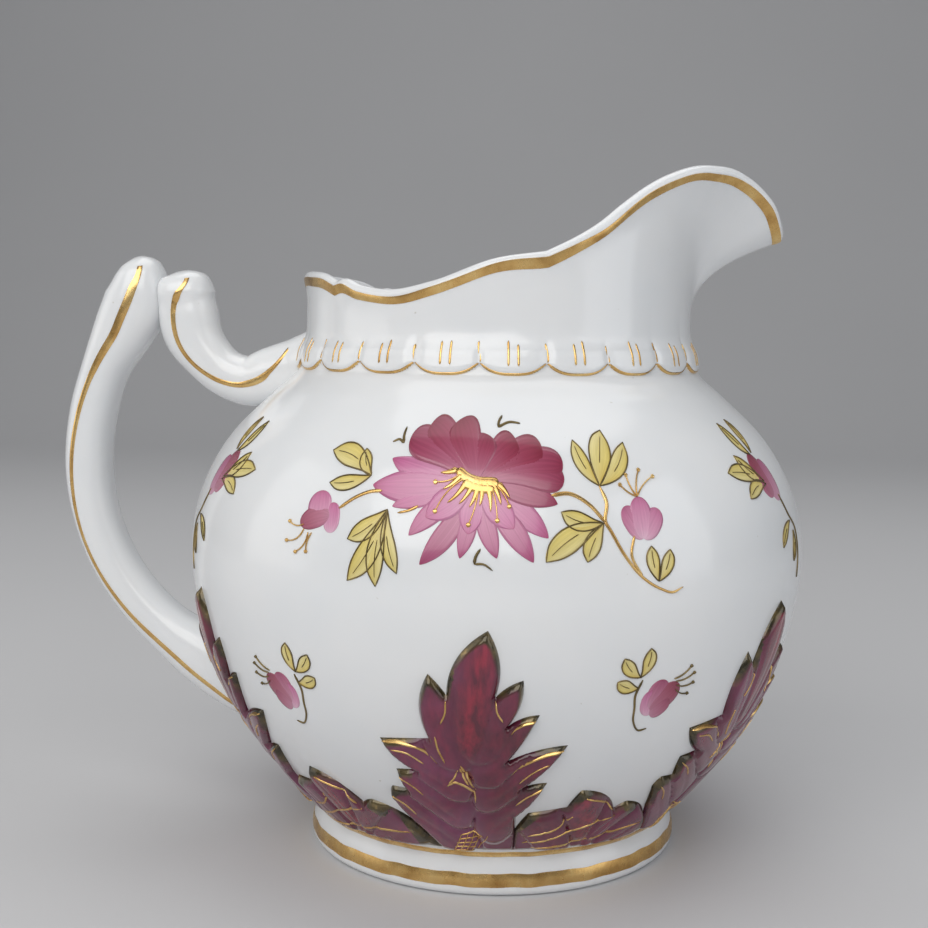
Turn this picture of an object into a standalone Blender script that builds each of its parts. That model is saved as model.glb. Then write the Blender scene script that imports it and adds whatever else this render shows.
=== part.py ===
"""Porcelain cream jug, built as separate pieces in metres, +Z up, spout towards +X.

Every piece is worked out in millimetres about the jug's turning axis and moved along X at the end, so
that the whole jug stands centred over the origin.  Azimuths are measured in degrees from the spout (+X)
towards the jug's front (-Y); 90 is the front, 180 the handle and 270 the back.
"""
import math

import bmesh
import bpy
import numpy as np

MM = 0.001

# Driving dimensions, millimetres
FOOT_R = 30.3
FOOT_H = 5.8
BELLY_R = 49.75
SHOULDER_Z = 77.6
NECK_Z = 81.3
NECK_R = 31.2
RIM_R = 31.9
LIP_REACH = 46.0
LIP_TOP_Z = 108.6
EAR_Z = 92.8
HANDLE_REACH = 73.3
WALL = 2.4
GAP = 0.2
AXIS_X = (HANDLE_REACH - BELLY_R) / 2

# Belly: height, radius
BELLY = (
    (6.0, 29.4), (12.0, 33.9), (20.0, 40.0), (30.0, 45.5), (40.0, 48.75),
    (49.0, BELLY_R), (60.0, 47.5), (68.0, 42.6), (74.0, 36.4), (SHOULDER_Z, 32.6),
)

# Rim: azimuth from the spout, height.  Three lobes a side meet in two small cusps.
CUSP_FRONT = (73.5, 95.1)
CUSP_BACK = (138.0, 90.9)
LIP_LOBE = (
    (-4, 100.7), (0, 98.9), (4, 100.7), (7, 103.6), (10, 105.9), (14, 107.7), (22, LIP_TOP_Z), (34, 107.1),
    (42, 105.1), (50, 102.4), (58, 99.4), (66, 97.0), CUSP_FRONT,
)
SIDE_LOBE = (CUSP_FRONT, (87, 94.0), (104, 90.8), (116, 89.6), (128, 90.3), (135, 91.3), CUSP_BACK)
EAR_LOBE = (CUSP_BACK, (146, 92.2), (156, 92.7), (180, EAR_Z))
LIP_TIP_R = 8.0

# Shoulder scallops: how many, the azimuth of the middle of one, and how far each pillow stands out
SCALLOPS = 21
SCALLOP_FIRST = 82.5
SCALLOP_RELIEF = 0.7
BAND_STANDS_OUT = 1.4

# Handle loop and scroll: x from the axis, height, half width in the handle's plane, half width across
LOOP = (
    (-34.0, 20.4, 4.4, 5.6), (-41.8, 23.3, 4.9, 6.4), (-45.8, 26.3, 5.6, 6.0), (-50.0, 28.8, 5.2, 5.4),
    (-54.9, 32.0, 4.2, 4.8), (-60.3, 37.1, 3.8, 4.6), (-64.7, 43.2, 3.7, 4.5), (-68.0, 51.0, 3.7, 4.5),
    (-69.5, 60.3, 3.8, 4.5), (-68.6, 69.7, 3.8, 4.6), (-66.2, 77.5, 3.9, 4.8), (-62.7, 84.4, 5.1, 5.0),
    (-60.5, 89.0, 5.4, 5.1), (-60.1, 91.8, 4.5, 4.8), (-60.1, 93.6, 3.7, 4.2), (-60.3, 94.9, 2.7, 3.0),
    (-60.5, 95.7, 1.0, 1.2),
)
SCROLL = (
    (-28.5, 78.6, 5.4, 6.0), (-33.1, 77.3, 5.2, 6.0), (-37.6, 76.1, 4.9, 5.4), (-41.8, 75.3, 4.2, 4.9),
    (-45.6, 76.5, 3.9, 4.6), (-48.8, 79.3, 4.1, 4.6), (-51.2, 82.8, 4.7, 4.7), (-52.1, 86.2, 4.9, 4.8),
    (-52.5, 88.2, 4.8, 4.7), (-52.7, 90.2, 4.9, 4.9), (-52.7, 91.7, 4.3, 4.3), (-52.8, 92.8, 3.1, 3.2),
    (-52.9, 93.4, 1.2, 1.4),
)
BAR_SQUARENESS = 2.5
SEAM_X = -56.1
SEAM_LOW_Z = 79.0
LUTE_THICK = 0.7
LUTE_SWELL = 0.5

# Relief leaves: degrees from the leaf's own middle, height, and how far the edge to the next point bows
# outwards as a share of its length.  Tips and notches in turn, clockwise from the top.
TALL_LEAF = (
    (2.6, 44.6, 0.11), (3.8, 35.0, 0.08), (8.3, 37.6, 0.10), (6.0, 30.6, 0.10), (11.3, 32.4, 0.04),
    (6.4, 25.0, 0.06), (17.0, 27.4, 0.06), (9.2, 20.2, 0.05), (14.4, 21.0, 0.06), (9.0, 15.0, 0.0),
    (9.6, 7.6, 0.0), (-9.6, 7.6, 0.0), (-15.6, 13.4, 0.0), (-18.7, 17.6, 0.10), (-17.6, 19.2, 0.0),
    (-14.0, 19.0, 0.06), (-15.4, 22.5, 0.0), (-11.0, 22.8, 0.10), (-17.1, 27.6, 0.0), (-7.8, 28.3, 0.12),
    (-7.0, 38.2, 0.03), (-4.1, 35.2, 0.13),
)
# Low leaf between two tall ones
LOW_LEAF = (
    (-7.3, 19.1, 0.11), (3.2, 14.5, 0.05), (5.9, 15.5, 0.08), (15.9, 11.4, 0.0), (19.9, 7.6, 0.0),
    (-19.9, 7.6, 0.0), (-20.1, 12.0, 0.03), (-17.6, 15.2, 0.0), (-9.2, 16.0, 0.05),
)
# Low leaf under the spout, and the one under the handle, the same on both sides of the handle's plane
SPOUT_LOW_LEAF = (
    (7.3, 19.1, 0.0), (9.2, 16.0, 0.0), (17.6, 15.2, 0.03), (19.9, 12.0, 0.0), (19.7, 7.6, 0.0),
    (-19.7, 7.6, 0.0), (-19.9, 12.0, 0.03), (-17.6, 15.2, 0.0), (-9.2, 16.0, 0.0), (-7.3, 19.1, 0.0),
    (0.0, 16.6, 0.0),
)
HANDLE_LOW_LEAF = (
    (4.6, 15.0, 0.08), (11.9, 11.4, 0.0), (15.2, 7.6, 0.0), (-15.2, 7.6, 0.0), (-11.9, 11.4, 0.08),
    (-4.6, 15.0, 0.0), (0.0, 13.6, 0.0),
)
# Middles of the tall leaves; middles and widths of the low leaves between them, as a share of LOW_LEAF
TALL_LEAF_AT = {
    "front": 90.0, "back": 270.0, "spout_front": 30.0, "spout_back": 330.0,
    "handle_front": 154.0, "handle_back": 206.0,
}
LOW_LEAF_AT = {
    "right_front": (60.0, 1.0), "right_back": (300.0, 1.0),
    "left_front": (122.0, 1.1), "left_back": (238.0, 1.1),
}
HANDLE_LEAF_REACH = 14.8
LEAF_RELIEF = 0.8
LEAF_EDGE_SHARE = 0.55
LEAF_CELL = 7.0

# Gilding: heights of the two foot lines, distances below the rim, angles round the handle's sections
GOLD_THICK = 0.14
GOLD_CLEAR = 0.12
RIM_GOLD_CLEAR = 0.2
FOOT_BAND = (1.6, 3.6)
FOOT_LINE = (6.15, 6.95)
RIM_GOLD = (1.7, 2.8)
RIM_WALL = 2.0
SCALLOP_LINE_H = 0.5
SCROLL_COVERS = 13.0
LOOP_GOLD_ANGLE = 76.0
SCROLL_GOLD_ANGLE = 82.0
HANDLE_GOLD_HALF = 7.0

FOOT_SLOPE = 0.28
FLOOR_THICK = 3.2
NECK_INSIDE_R = NECK_R - WALL + 0.6
WAIST_Z = NECK_Z + 3.7
FLARE_H = 5.0
LIP_SWEEP = 2.8

TURN_SEGMENTS = 64
RING_SEGMENTS = 72
BAR_SEGMENTS = 16
LOOP_ROWS = 36
SCROLL_ROWS = 26
END_CROWDING = 1.3
EDGE_POINTS = 3
LUTE_LOWER_ROWS = 11
LUTE_UPPER_ROWS = 9
LOOP_GOLD_FIRST = 3
SCROLL_GOLD_FIRST = 5
OUTSIDE_ROWS = 16
INSIDE_ROWS = 11


def curve_through(stations, x):
    """Smooth curve through (x, value) stations, with slopes taken from the neighbouring stations."""
    xs = np.array([s[0] for s in stations], float)
    ys = np.array([s[1] for s in stations], float)
    step = np.diff(xs)
    rise = np.diff(ys) / step
    slope = np.empty(len(xs))
    slope[0] = rise[0]
    slope[-1] = rise[-1]
    slope[1:-1] = (rise[:-1] * step[1:] + rise[1:] * step[:-1]) / (step[1:] + step[:-1])
    x = np.clip(np.asarray(x, float), xs[0], xs[-1])
    i = np.clip(np.searchsorted(xs, x, side="right") - 1, 0, len(xs) - 2)
    t = (x - xs[i]) / step[i]
    return (
        ys[i] * (1 + 2 * t) * (1 - t) ** 2
        + ys[i + 1] * t * t * (3 - 2 * t)
        + step[i] * t * (1 - t) * (slope[i] * (1 - t) - slope[i + 1] * t)
    )


def material(name, colour, roughness, metallic=0.0):
    mat = bpy.data.materials.new(name)
    mat.use_nodes = True
    shader = mat.node_tree.nodes["Principled BSDF"]
    shader.inputs["Base Color"].default_value = (*colour, 1.0)
    shader.inputs["Roughness"].default_value = roughness
    shader.inputs["Metallic"].default_value = metallic
    mat.diffuse_color = (*colour, 1.0)
    return mat


def add_mesh(name, points, faces, mat, smooth=True):
    """One closed mesh from points in millimetres about the turning axis."""
    mesh = bpy.data.meshes.new(name)
    moved = (np.asarray(points, float) + (AXIS_X, 0.0, 0.0)) * MM
    mesh.from_pydata(moved.tolist(), [], [tuple(int(i) for i in f) for f in faces])
    bm = bmesh.new()
    bm.from_mesh(mesh)
    bmesh.ops.recalc_face_normals(bm, faces=bm.faces)
    bmesh.ops.triangulate(bm, faces=[f for f in bm.faces if len(f.verts) > 4])
    if bm.calc_volume(signed=True) < 0:
        bmesh.ops.reverse_faces(bm, faces=bm.faces)
    bm.to_mesh(mesh)
    bm.free()
    obj = bpy.data.objects.new(name, mesh)
    bpy.context.scene.collection.objects.link(obj)
    mesh.materials.append(mat)
    if smooth:
        mesh.shade_smooth()
        mesh.set_sharp_from_angle(angle=math.radians(40))
    return obj


def wrap_faces(rows, cols, close_rows=True):
    """Quads over a grid whose columns run round; the rows run round too when close_rows is set."""
    faces = []
    for i in range(rows if close_rows else rows - 1):
        k = (i + 1) % rows
        for j in range(cols):
            n = (j + 1) % cols
            faces.append((i * cols + j, i * cols + n, k * cols + n, k * cols + j))
    return faces


def add_strip(name, corners, mat):
    """An open strip from the paths of its four corners, closed by an end face at each end."""
    rows = np.array(corners).transpose(1, 0, 2)
    last = (len(rows) - 1) * 4
    faces = wrap_faces(len(rows), 4, close_rows=False)
    faces.append((0, 1, 2, 3))
    faces.append((last + 3, last + 2, last + 1, last))
    return add_mesh(name, rows.reshape(-1, 3), faces, mat)


def around(radius, height, azimuth):
    """Points at a radius, height and azimuth (degrees from the spout towards the front)."""
    a = np.radians(azimuth)
    return np.stack(np.broadcast_arrays(radius * np.cos(a), -radius * np.sin(a), height), axis=-1)


def turned_ring(name, section, segments, mat):
    """Revolve a closed section of (radius, height) points that stays off the axis."""
    azimuth = np.arange(segments) * 360.0 / segments
    section = np.array(section, float)
    points = around(section[:, :1], section[:, 1:], azimuth[None, :])
    return add_mesh(name, points.reshape(-1, 3), wrap_faces(len(section), segments), mat)


def turned_solid(name, section, segments, mat):
    """Revolve an open section whose first and last points lie on the axis."""
    azimuth = np.arange(segments) * 360.0 / segments
    inner = np.array(section[1:-1], float)
    rows = len(inner)
    points = around(inner[:, :1], inner[:, 1:], azimuth[None, :]).reshape(-1, 3)
    points = np.vstack([points, (0.0, 0.0, section[0][1]), (0.0, 0.0, section[-1][1])])
    faces = wrap_faces(rows, segments, close_rows=False)
    last = (rows - 1) * segments
    for j in range(segments):
        n = (j + 1) % segments
        faces.append((rows * segments, n, j))
        faces.append((rows * segments + 1, last + j, last + n))
    return add_mesh(name, points, faces, mat)


def belly_radius(height):
    return curve_through(BELLY, height)


def belly_normal(height):
    """Outward unit normal of the belly as (radial, vertical)."""
    slope = (belly_radius(height + 0.05) - belly_radius(height - 0.05)) / 0.1
    length = np.sqrt(1 + slope ** 2)
    return 1 / length, -slope / length


def on_belly(azimuth, height, lift):
    """Points standing off the belly's surface by lift."""
    out, rise = belly_normal(height)
    return around(belly_radius(height) + lift * out, height + lift * rise, azimuth)


def foot_ring(mat):
    recess_r = FOOT_R - 4.4
    section = (
        (recess_r, FOOT_H - GAP), (recess_r + 0.1, 1.2), (recess_r + 0.7, 0.3), (recess_r + 1.5, 0.0),
        (FOOT_R - 1.4, 0.0), (FOOT_R - 0.4, 0.5), (FOOT_R, 1.5), (FOOT_R - 0.3, 3.7),
        (FOOT_R - 0.8, FOOT_H - GAP),
    )
    return turned_ring("foot_ring", section, TURN_SEGMENTS, mat)


def body(mat):
    foot_z = BELLY[0][0]
    floor_z = foot_z + FLOOR_THICK
    top_z = SHOULDER_Z - GAP
    outside_z = np.linspace(foot_z, top_z, OUTSIDE_ROWS)
    outside = list(zip(belly_radius(outside_z), outside_z))
    inside_z = np.linspace(top_z - 3.0, floor_z + 2.0, INSIDE_ROWS)
    out, rise = belly_normal(inside_z)
    inside = list(zip(belly_radius(inside_z) - WALL * out, inside_z - WALL * rise))
    inside = [p for p in inside if p[1] < top_z - 1.5 and p[1] > floor_z + 0.6]
    section = [(0.0, foot_z)] + outside
    section += [(NECK_INSIDE_R, top_z)] + inside
    section += [(inside[-1][0] - 3.0, floor_z), (0.0, floor_z)]
    return turned_solid("body", section, TURN_SEGMENTS, mat)


def scallop_phase(azimuth):
    """-1 and 1 at a scallop's two cusps, 0 at its middle."""
    width = 360.0 / SCALLOPS
    turns = (np.asarray(azimuth, float) - SCALLOP_FIRST) / width
    return 2 * (turns - np.round(turns))


def scallop_edge(azimuth):
    """Height of the scallops' lower edge."""
    u = np.abs(scallop_phase(azimuth))
    return SHOULDER_Z + 0.15 + 1.7 * u ** 3


def band_radius(azimuth, height):
    """Outer radius of the scalloped shoulder band."""
    base = 32.6 - 0.9 * (height - SHOULDER_Z) / (NECK_Z - SHOULDER_Z)
    u = scallop_phase(azimuth)
    t = np.clip((height - scallop_edge(azimuth)) / (NECK_Z - scallop_edge(azimuth)), 0, 1)
    pillow = np.sqrt(np.clip(1 - u * u, 0, 1)) * np.sin(math.pi * np.clip(t * 1.25, 0, 1)) ** 0.5
    return base + SCALLOP_RELIEF * pillow


def shoulder_band(mat):
    cols = SCALLOPS * 6
    azimuth = SCALLOP_FIRST + (np.arange(cols) + 0.5) * 360.0 / cols
    low = SHOULDER_Z
    top = NECK_Z - GAP
    rows = [around(NECK_INSIDE_R, low, azimuth)]
    for height in np.linspace(low, top, 6):
        rows.append(around(band_radius(azimuth, height), height, azimuth))
    rows.append(around(NECK_INSIDE_R, top, azimuth))
    points = np.array(rows).reshape(-1, 3)
    return add_mesh("shoulder_band", points, wrap_faces(len(rows), cols), mat)


def half_turn(azimuth):
    """Fold an azimuth onto 0..180: the rim is the same on both sides of the handle's plane."""
    return np.abs((np.asarray(azimuth, float) + 180.0) % 360.0 - 180.0)


def rim_height(azimuth):
    a = half_turn(azimuth)
    lip = curve_through(LIP_LOBE, a)
    side = curve_through(SIDE_LOBE, a)
    ear = curve_through(EAR_LOBE, a)
    return np.where(a < CUSP_FRONT[0], lip, np.where(a < CUSP_BACK[0], side, ear))


def rim_radius(azimuth):
    """Plan of the rim: a circle with two tangents running to a small rounded tip."""
    a = np.radians(half_turn(azimuth))
    tip_centre = LIP_REACH - LIP_TIP_R
    lean = math.asin((RIM_R - LIP_TIP_R) / tip_centre)
    touch = math.pi / 2 - lean
    tip_touch = math.atan2(LIP_TIP_R * math.sin(touch), tip_centre + LIP_TIP_R * math.cos(touch))
    tip = tip_centre * np.cos(a) + np.sqrt(np.clip(LIP_TIP_R ** 2 - (tip_centre * np.sin(a)) ** 2, 0, None))
    straight = RIM_R / np.cos(touch - np.minimum(a, touch))
    return np.where(a < tip_touch, tip, straight)


def neck_point(azimuth, t):
    """Outside of the neck: t runs from 0 at the shoulder to 1 at the rim."""
    top = rim_height(azimuth)
    height = NECK_Z + t * (top - NECK_Z)
    waist = NECK_R + 0.5 * np.clip((WAIST_Z - height) / (WAIST_Z - NECK_Z), 0, 1) ** 2
    climb = np.clip((height - WAIST_Z) / (top - WAIST_Z), 0, 1)
    flare = np.clip(1 - (top - height) / FLARE_H, 0, 1) ** 2
    reach = np.maximum(rim_radius(azimuth) - RIM_R, 0.0)
    radius = waist + reach * climb ** LIP_SWEEP + (RIM_R - NECK_R) * flare
    return around(radius, height, azimuth)


def neck_frame(azimuth, t):
    """Point, outward normal and upward tangent on the neck's outside."""
    point = neck_point(azimuth, t)
    step = 0.01
    above = np.minimum(t + step, 1.0)
    up = neck_point(azimuth, above) - neck_point(azimuth, above - 2 * step)
    side = neck_point(azimuth + 1.0, t) - neck_point(azimuth - 1.0, t)
    up /= np.linalg.norm(up, axis=-1, keepdims=True)
    normal = np.cross(up, side)
    normal /= np.linalg.norm(normal, axis=-1, keepdims=True)
    outward = point * (1.0, 1.0, 0.0)
    normal *= np.sign(np.sum(normal * outward, axis=-1, keepdims=True))
    return point, normal, up


def rim_azimuths():
    """Round the rim once, closer together at the lip."""
    turn = np.arange(RING_SEGMENTS) / RING_SEGMENTS
    return 360.0 * turn - 22.0 * np.sin(2 * math.pi * turn)


def rim_share(azimuth, drop):
    """The t that lies a given distance down the neck's outside from the rim."""
    near = 0.02
    run = neck_point(azimuth, np.ones_like(azimuth)) - neck_point(azimuth, np.full_like(azimuth, 1 - near))
    return 1 - drop * near / np.linalg.norm(run, axis=-1)


def neck_spout(mat):
    azimuth = rim_azimuths()
    top = rim_share(azimuth, RIM_WALL / 2)
    rows = []
    for share in np.linspace(0.0, 1.0, 11):
        rows.append(neck_point(azimuth, share * top))
    point, normal, up = neck_frame(azimuth, top)
    for turn in (0.25, 0.5, 0.75):
        out = math.cos(math.pi * turn) - 1
        rise = math.sin(math.pi * turn)
        rows.append(point + RIM_WALL / 2 * (out * normal + rise * up))
    for share in np.linspace(1.0, 0.12, 8):
        wall = WALL + (RIM_WALL - WALL) * share
        point, normal, up = neck_frame(azimuth, share * top)
        rows.append(point - wall * normal)
    rows.append(around(NECK_INSIDE_R, NECK_Z, azimuth))
    points = np.array(rows).reshape(-1, 3)
    return add_mesh("neck_spout", points, wrap_faces(len(rows), len(azimuth)), mat)


def swept_path(stations, rows):
    """Sample a bar's stations, closer together towards its last; returns centres (x, z) and half widths."""
    stations = np.array(stations, float)
    run = np.concatenate([[0], np.cumsum(np.hypot(np.diff(stations[:, 0]), np.diff(stations[:, 1])))])
    left = np.linspace(1, 0, rows) ** END_CROWDING
    s = run[-1] * (1 - left)
    return np.stack([curve_through(list(zip(run, stations[:, k])), s) for k in range(4)], axis=-1)


def section_offsets(turn):
    """A rounded square of half width 1: offsets in the handle's plane and across it at an angle round it."""
    flat = 2 / BAR_SQUARENESS
    c = np.sign(np.cos(turn)) * np.abs(np.cos(turn)) ** flat
    s = np.sign(np.sin(turn)) * np.abs(np.sin(turn)) ** flat
    return c, s


def bar_sections(path, swell, turn):
    """Sections square to the path, with a point at each angle in turn; swell is added to both half widths."""
    centre = path[:, :2]
    tangent = np.gradient(centre, axis=0)
    tangent /= np.linalg.norm(tangent, axis=1, keepdims=True)
    normal = np.stack([-tangent[:, 1], tangent[:, 0]], axis=-1)
    c, s = section_offsets(turn)
    offset = (path[:, 2:3] + swell) * c[None, :]
    across = (path[:, 3:4] + swell) * s[None, :]
    x = centre[:, :1] + normal[:, :1] * offset
    z = centre[:, 1:2] + normal[:, 1:2] * offset
    return np.stack([x, across, z], axis=-1)


def bar(name, path, mat, swell=0.0, limit=None):
    """A solid bar along a path, closed by flat ends; limit keeps its points on one side of a plane in X."""
    segments = BAR_SEGMENTS
    turn = (np.arange(segments) + 0.5) * 2 * math.pi / segments
    sections = bar_sections(path, swell, turn)
    if limit is not None:
        side, x = limit
        above = sections[..., 2] > SEAM_LOW_Z
        kept = np.minimum(sections[..., 0], x) if side < 0 else np.maximum(sections[..., 0], x)
        sections[..., 0] = np.where(above, kept, sections[..., 0])
    rows = len(sections)
    faces = wrap_faces(rows, segments, close_rows=False)
    faces.append(tuple(range(segments)))
    faces.append(tuple((rows - 1) * segments + j for j in reversed(range(segments))))
    return add_mesh(name, sections.reshape(-1, 3), faces, mat)


def jug_cutter(name, lift, mat):
    """The jug's outside swollen by lift, used to trim the handle's ends and the slip joints."""
    band_r = NECK_R + SCALLOP_RELIEF + lift
    height = np.linspace(BELLY[0][0], SHOULDER_Z - GAP, OUTSIDE_ROWS)
    out, rise = belly_normal(height)
    radius = belly_radius(height) + lift * out
    radius[-1] = max(radius[-1], band_r + BAND_STANDS_OUT)
    section = [(0.0, BELLY[0][0] + lift * rise[0])] + list(zip(radius, height + lift * rise))
    section += [(band_r + 0.8 * BAND_STANDS_OUT, NECK_Z - 1.0), (band_r, NECK_Z + 1.0)]
    section += [(band_r, EAR_Z), (0.0, EAR_Z)]
    cutter = turned_solid(name, section, TURN_SEGMENTS, mat)
    cutter.hide_render = True
    cutter.display_type = "WIRE"
    return cutter


def trim(obj, cutter, operation="DIFFERENCE"):
    mod = obj.modifiers.new(operation.lower() + "_" + cutter.name, "BOOLEAN")
    mod.operation = operation
    mod.solver = "EXACT"
    mod.object = cutter


def handle_parts(mat):
    """The loop and the scroll, trimmed clear of the jug, and the slip joint under each."""
    lute_inner = jug_cutter("cut_lute_inside", GAP, mat)
    lute_outer = jug_cutter("cut_lute_outside", GAP + LUTE_THICK, mat)
    clear = jug_cutter("cut_handle_clear", 2 * GAP + LUTE_THICK, mat)
    loop_path = swept_path(LOOP, LOOP_ROWS)
    scroll_path = swept_path(SCROLL, SCROLL_ROWS)
    loop = bar("handle", loop_path, mat, limit=(-1, SEAM_X - GAP / 2))
    trim(loop, clear)
    scroll = bar("handle_scroll", scroll_path, mat, limit=(1, SEAM_X + GAP / 2))
    trim(scroll, clear)
    for name, path, rows in (
        ("lute_lower", loop_path, LUTE_LOWER_ROWS), ("lute_upper", scroll_path, LUTE_UPPER_ROWS),
    ):
        lute = bar(name, path[:rows], mat, swell=LUTE_SWELL)
        trim(lute, lute_outer, "INTERSECT")
        trim(lute, lute_inner)
    return loop_path, scroll_path


def leaf_outline(corners, hand=1.0, width=1.0):
    """The corners joined by bowed edges, in degrees and millimetres; hand -1 turns the outline over."""
    scale = math.radians(BELLY_R)
    points = []
    for i, (a, h, bow) in enumerate(corners):
        next_a, next_h, _ = corners[(i + 1) % len(corners)]
        steps = EDGE_POINTS if bow > 0 else 1
        for k in range(steps):
            t = k / steps
            out = 4 * bow * t * (1 - t)
            along_a = a + t * (next_a - a) - out * (next_h - h) / scale
            along_h = h + t * (next_h - h) + out * (next_a - a) * scale
            points.append((hand * width * along_a, along_h))
    return points


def leaf(name, outline, middle, mat):
    """A lobed leaf standing off the belly: a flat outline cut into cells, with both faces laid on."""
    flat = bmesh.new()
    corners = [flat.verts.new((a, h, 0.0)) for a, h in outline]
    flat.faces.new(corners)
    bmesh.ops.triangulate(flat, faces=flat.faces[:])
    for axis, step in ((0, LEAF_CELL), (1, LEAF_CELL)):
        low = min(v.co[axis] for v in flat.verts)
        high = max(v.co[axis] for v in flat.verts)
        cuts = int((high - low) / step)
        for k in range(1, cuts + 1):
            place = low + (high - low) * k / (cuts + 1)
            origin = [0.0, 0.0, 0.0]
            normal = [0.0, 0.0, 0.0]
            origin[axis] = place
            normal[axis] = 1.0
            bmesh.ops.bisect_plane(flat, geom=flat.verts[:] + flat.edges[:] + flat.faces[:],
                                   plane_co=origin, plane_no=normal, dist=0.02)
    bmesh.ops.dissolve_degenerate(flat, dist=0.05, edges=flat.edges[:])
    bmesh.ops.triangulate(flat, faces=flat.faces[:])
    flat.verts.index_update()
    plan = np.array([v.co[:2] for v in flat.verts])
    faces = [tuple(v.index for v in f.verts) for f in flat.faces]
    edges = [tuple(loop.vert.index for loop in (e.link_loops[0], e.link_loops[0].link_loop_next))
             for e in flat.edges if len(e.link_faces) == 1]
    flat.free()
    count = len(plan)
    azimuth = middle + plan[:, 0]
    under = on_belly(azimuth, plan[:, 1], GAP)
    middle_share = np.exp(-(plan[:, 0] / LEAF_CELL) ** 2)
    crown = LEAF_RELIEF * (LEAF_EDGE_SHARE + (1 - LEAF_EDGE_SHARE) * middle_share)
    top = on_belly(azimuth, plan[:, 1], GAP + crown)
    solid = [f for f in faces] + [tuple(count + i for i in reversed(f)) for f in faces]
    solid += [(b, a, a + count, b + count) for a, b in edges]
    return add_mesh(name, np.vstack([top, under]), solid, mat)


def leaves(mat):
    """Six tall leaves and a low leaf between each two; lobes towards the handle stop short of its root."""
    for place, middle in TALL_LEAF_AT.items():
        hand = 1.0 if middle >= 180.0 else -1.0
        reach = HANDLE_LEAF_REACH if "handle" in place else 90.0
        corners = [(max(a, -reach), h, bow) for a, h, bow in TALL_LEAF]
        leaf("leaf_" + place, leaf_outline(corners, hand), middle, mat)
    for place, (middle, width) in LOW_LEAF_AT.items():
        hand = 1.0 if middle >= 180.0 else -1.0
        leaf("low_leaf_" + place, leaf_outline(LOW_LEAF, hand, width), middle, mat)
    leaf("low_leaf_spout", leaf_outline(SPOUT_LOW_LEAF), 0.0, mat)
    leaf("low_leaf_handle", leaf_outline(HANDLE_LOW_LEAF), 180.0, mat)


def foot_gilding(mat):
    low, high = FOOT_BAND
    inner = FOOT_R + GOLD_CLEAR
    turned_ring("foot_gold_band", (
        (inner, low), (inner + GOLD_THICK, low), (inner + GOLD_THICK - FOOT_SLOPE, high),
        (inner - FOOT_SLOPE, high),
    ), TURN_SEGMENTS, mat)
    line = []
    for height, lift in ((FOOT_LINE[0], GOLD_CLEAR), (FOOT_LINE[0], GOLD_CLEAR + GOLD_THICK),
                         (FOOT_LINE[1], GOLD_CLEAR + GOLD_THICK), (FOOT_LINE[1], GOLD_CLEAR)):
        out, rise = belly_normal(height)
        line.append((belly_radius(height) + lift * out, height + lift * rise))
    turned_ring("foot_gold_line", line, TURN_SEGMENTS, mat)


def scallop_gilding(mat):
    """The line along the scallops, left open behind the handle."""
    cols = SCALLOPS * 6
    azimuth = SCALLOP_FIRST + (np.arange(cols) + 0.5) * 360.0 / cols
    azimuth = 180.0 + np.sort((azimuth - 180.0) % 360.0)
    azimuth = azimuth[np.abs(half_turn(azimuth) - 180.0) > SCROLL_COVERS]
    low = scallop_edge(azimuth) + GAP
    high = low + SCALLOP_LINE_H
    corners = []
    for height, lift in ((low, 0.0), (low, GOLD_THICK), (high, GOLD_THICK), (high, 0.0)):
        widest = np.maximum(band_radius(azimuth, height), band_radius(azimuth, height + GAP))
        corners.append(around(widest + 2 * GOLD_CLEAR + lift, height, azimuth))
    add_strip("scallop_gold", corners, mat)


def rim_gilding(mat):
    azimuth = rim_azimuths()
    high, low = RIM_GOLD
    rows = []
    outer = RIM_GOLD_CLEAR + GOLD_THICK
    for drop, lift in ((low, RIM_GOLD_CLEAR), (low, outer), (high, outer), (high, RIM_GOLD_CLEAR)):
        point, normal, up = neck_frame(azimuth, rim_share(azimuth, drop))
        rows.append(point + lift * normal)
    add_mesh("rim_gold", np.array(rows).reshape(-1, 3), wrap_faces(4, len(azimuth)), mat)


def handle_gilding(mat, loop_path, scroll_path):
    """Two lines on each bar: one on the front side, one on the back."""
    for name, path, first, last, angle in (
        ("handle_gold", loop_path, LOOP_GOLD_FIRST, LOOP_ROWS - 3, LOOP_GOLD_ANGLE),
        ("scroll_gold", scroll_path, SCROLL_GOLD_FIRST, SCROLL_ROWS - 3, SCROLL_GOLD_ANGLE),
    ):
        edges = np.radians([angle - HANDLE_GOLD_HALF, angle + HANDLE_GOLD_HALF])
        under = bar_sections(path, GOLD_CLEAR, edges)[first:last]
        over = bar_sections(path, GOLD_CLEAR + GOLD_THICK, edges)[first:last]
        for side, word in ((-1.0, "front"), (1.0, "back")):
            corners = [path_points * (1.0, side, 1.0)
                       for path_points in (under[:, 0], over[:, 0], over[:, 1], under[:, 1])]
            add_strip(f"{name}_{word}", corners, mat)


def main():
    for obj in list(bpy.data.objects):
        bpy.data.objects.remove(obj)
    porcelain = material("porcelain", (0.80, 0.81, 0.83), 0.12)
    enamel = material("leaf_enamel", (0.12, 0.02, 0.045), 0.18)
    gold = material("gold", (0.78, 0.52, 0.2), 0.24, metallic=1.0)
    foot_ring(porcelain)
    body(porcelain)
    shoulder_band(porcelain)
    neck_spout(porcelain)
    loop_path, scroll_path = handle_parts(porcelain)
    leaves(enamel)
    foot_gilding(gold)
    scallop_gilding(gold)
    rim_gilding(gold)
    handle_gilding(gold, loop_path, scroll_path)


main()
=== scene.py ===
"""Looks of the porcelain cream jug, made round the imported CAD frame.

Shapes are worked out in millimetres about the jug's turning axis.  Azimuths are in degrees from the
pouring lip (+X) towards the front (-Y): 90 is the front, 180 the handle and 270 the back.
"""
import math

import bmesh
import bpy
import numpy as np
from mathutils import Matrix, Vector
from mathutils.geometry import delaunay_2d_cdt


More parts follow.
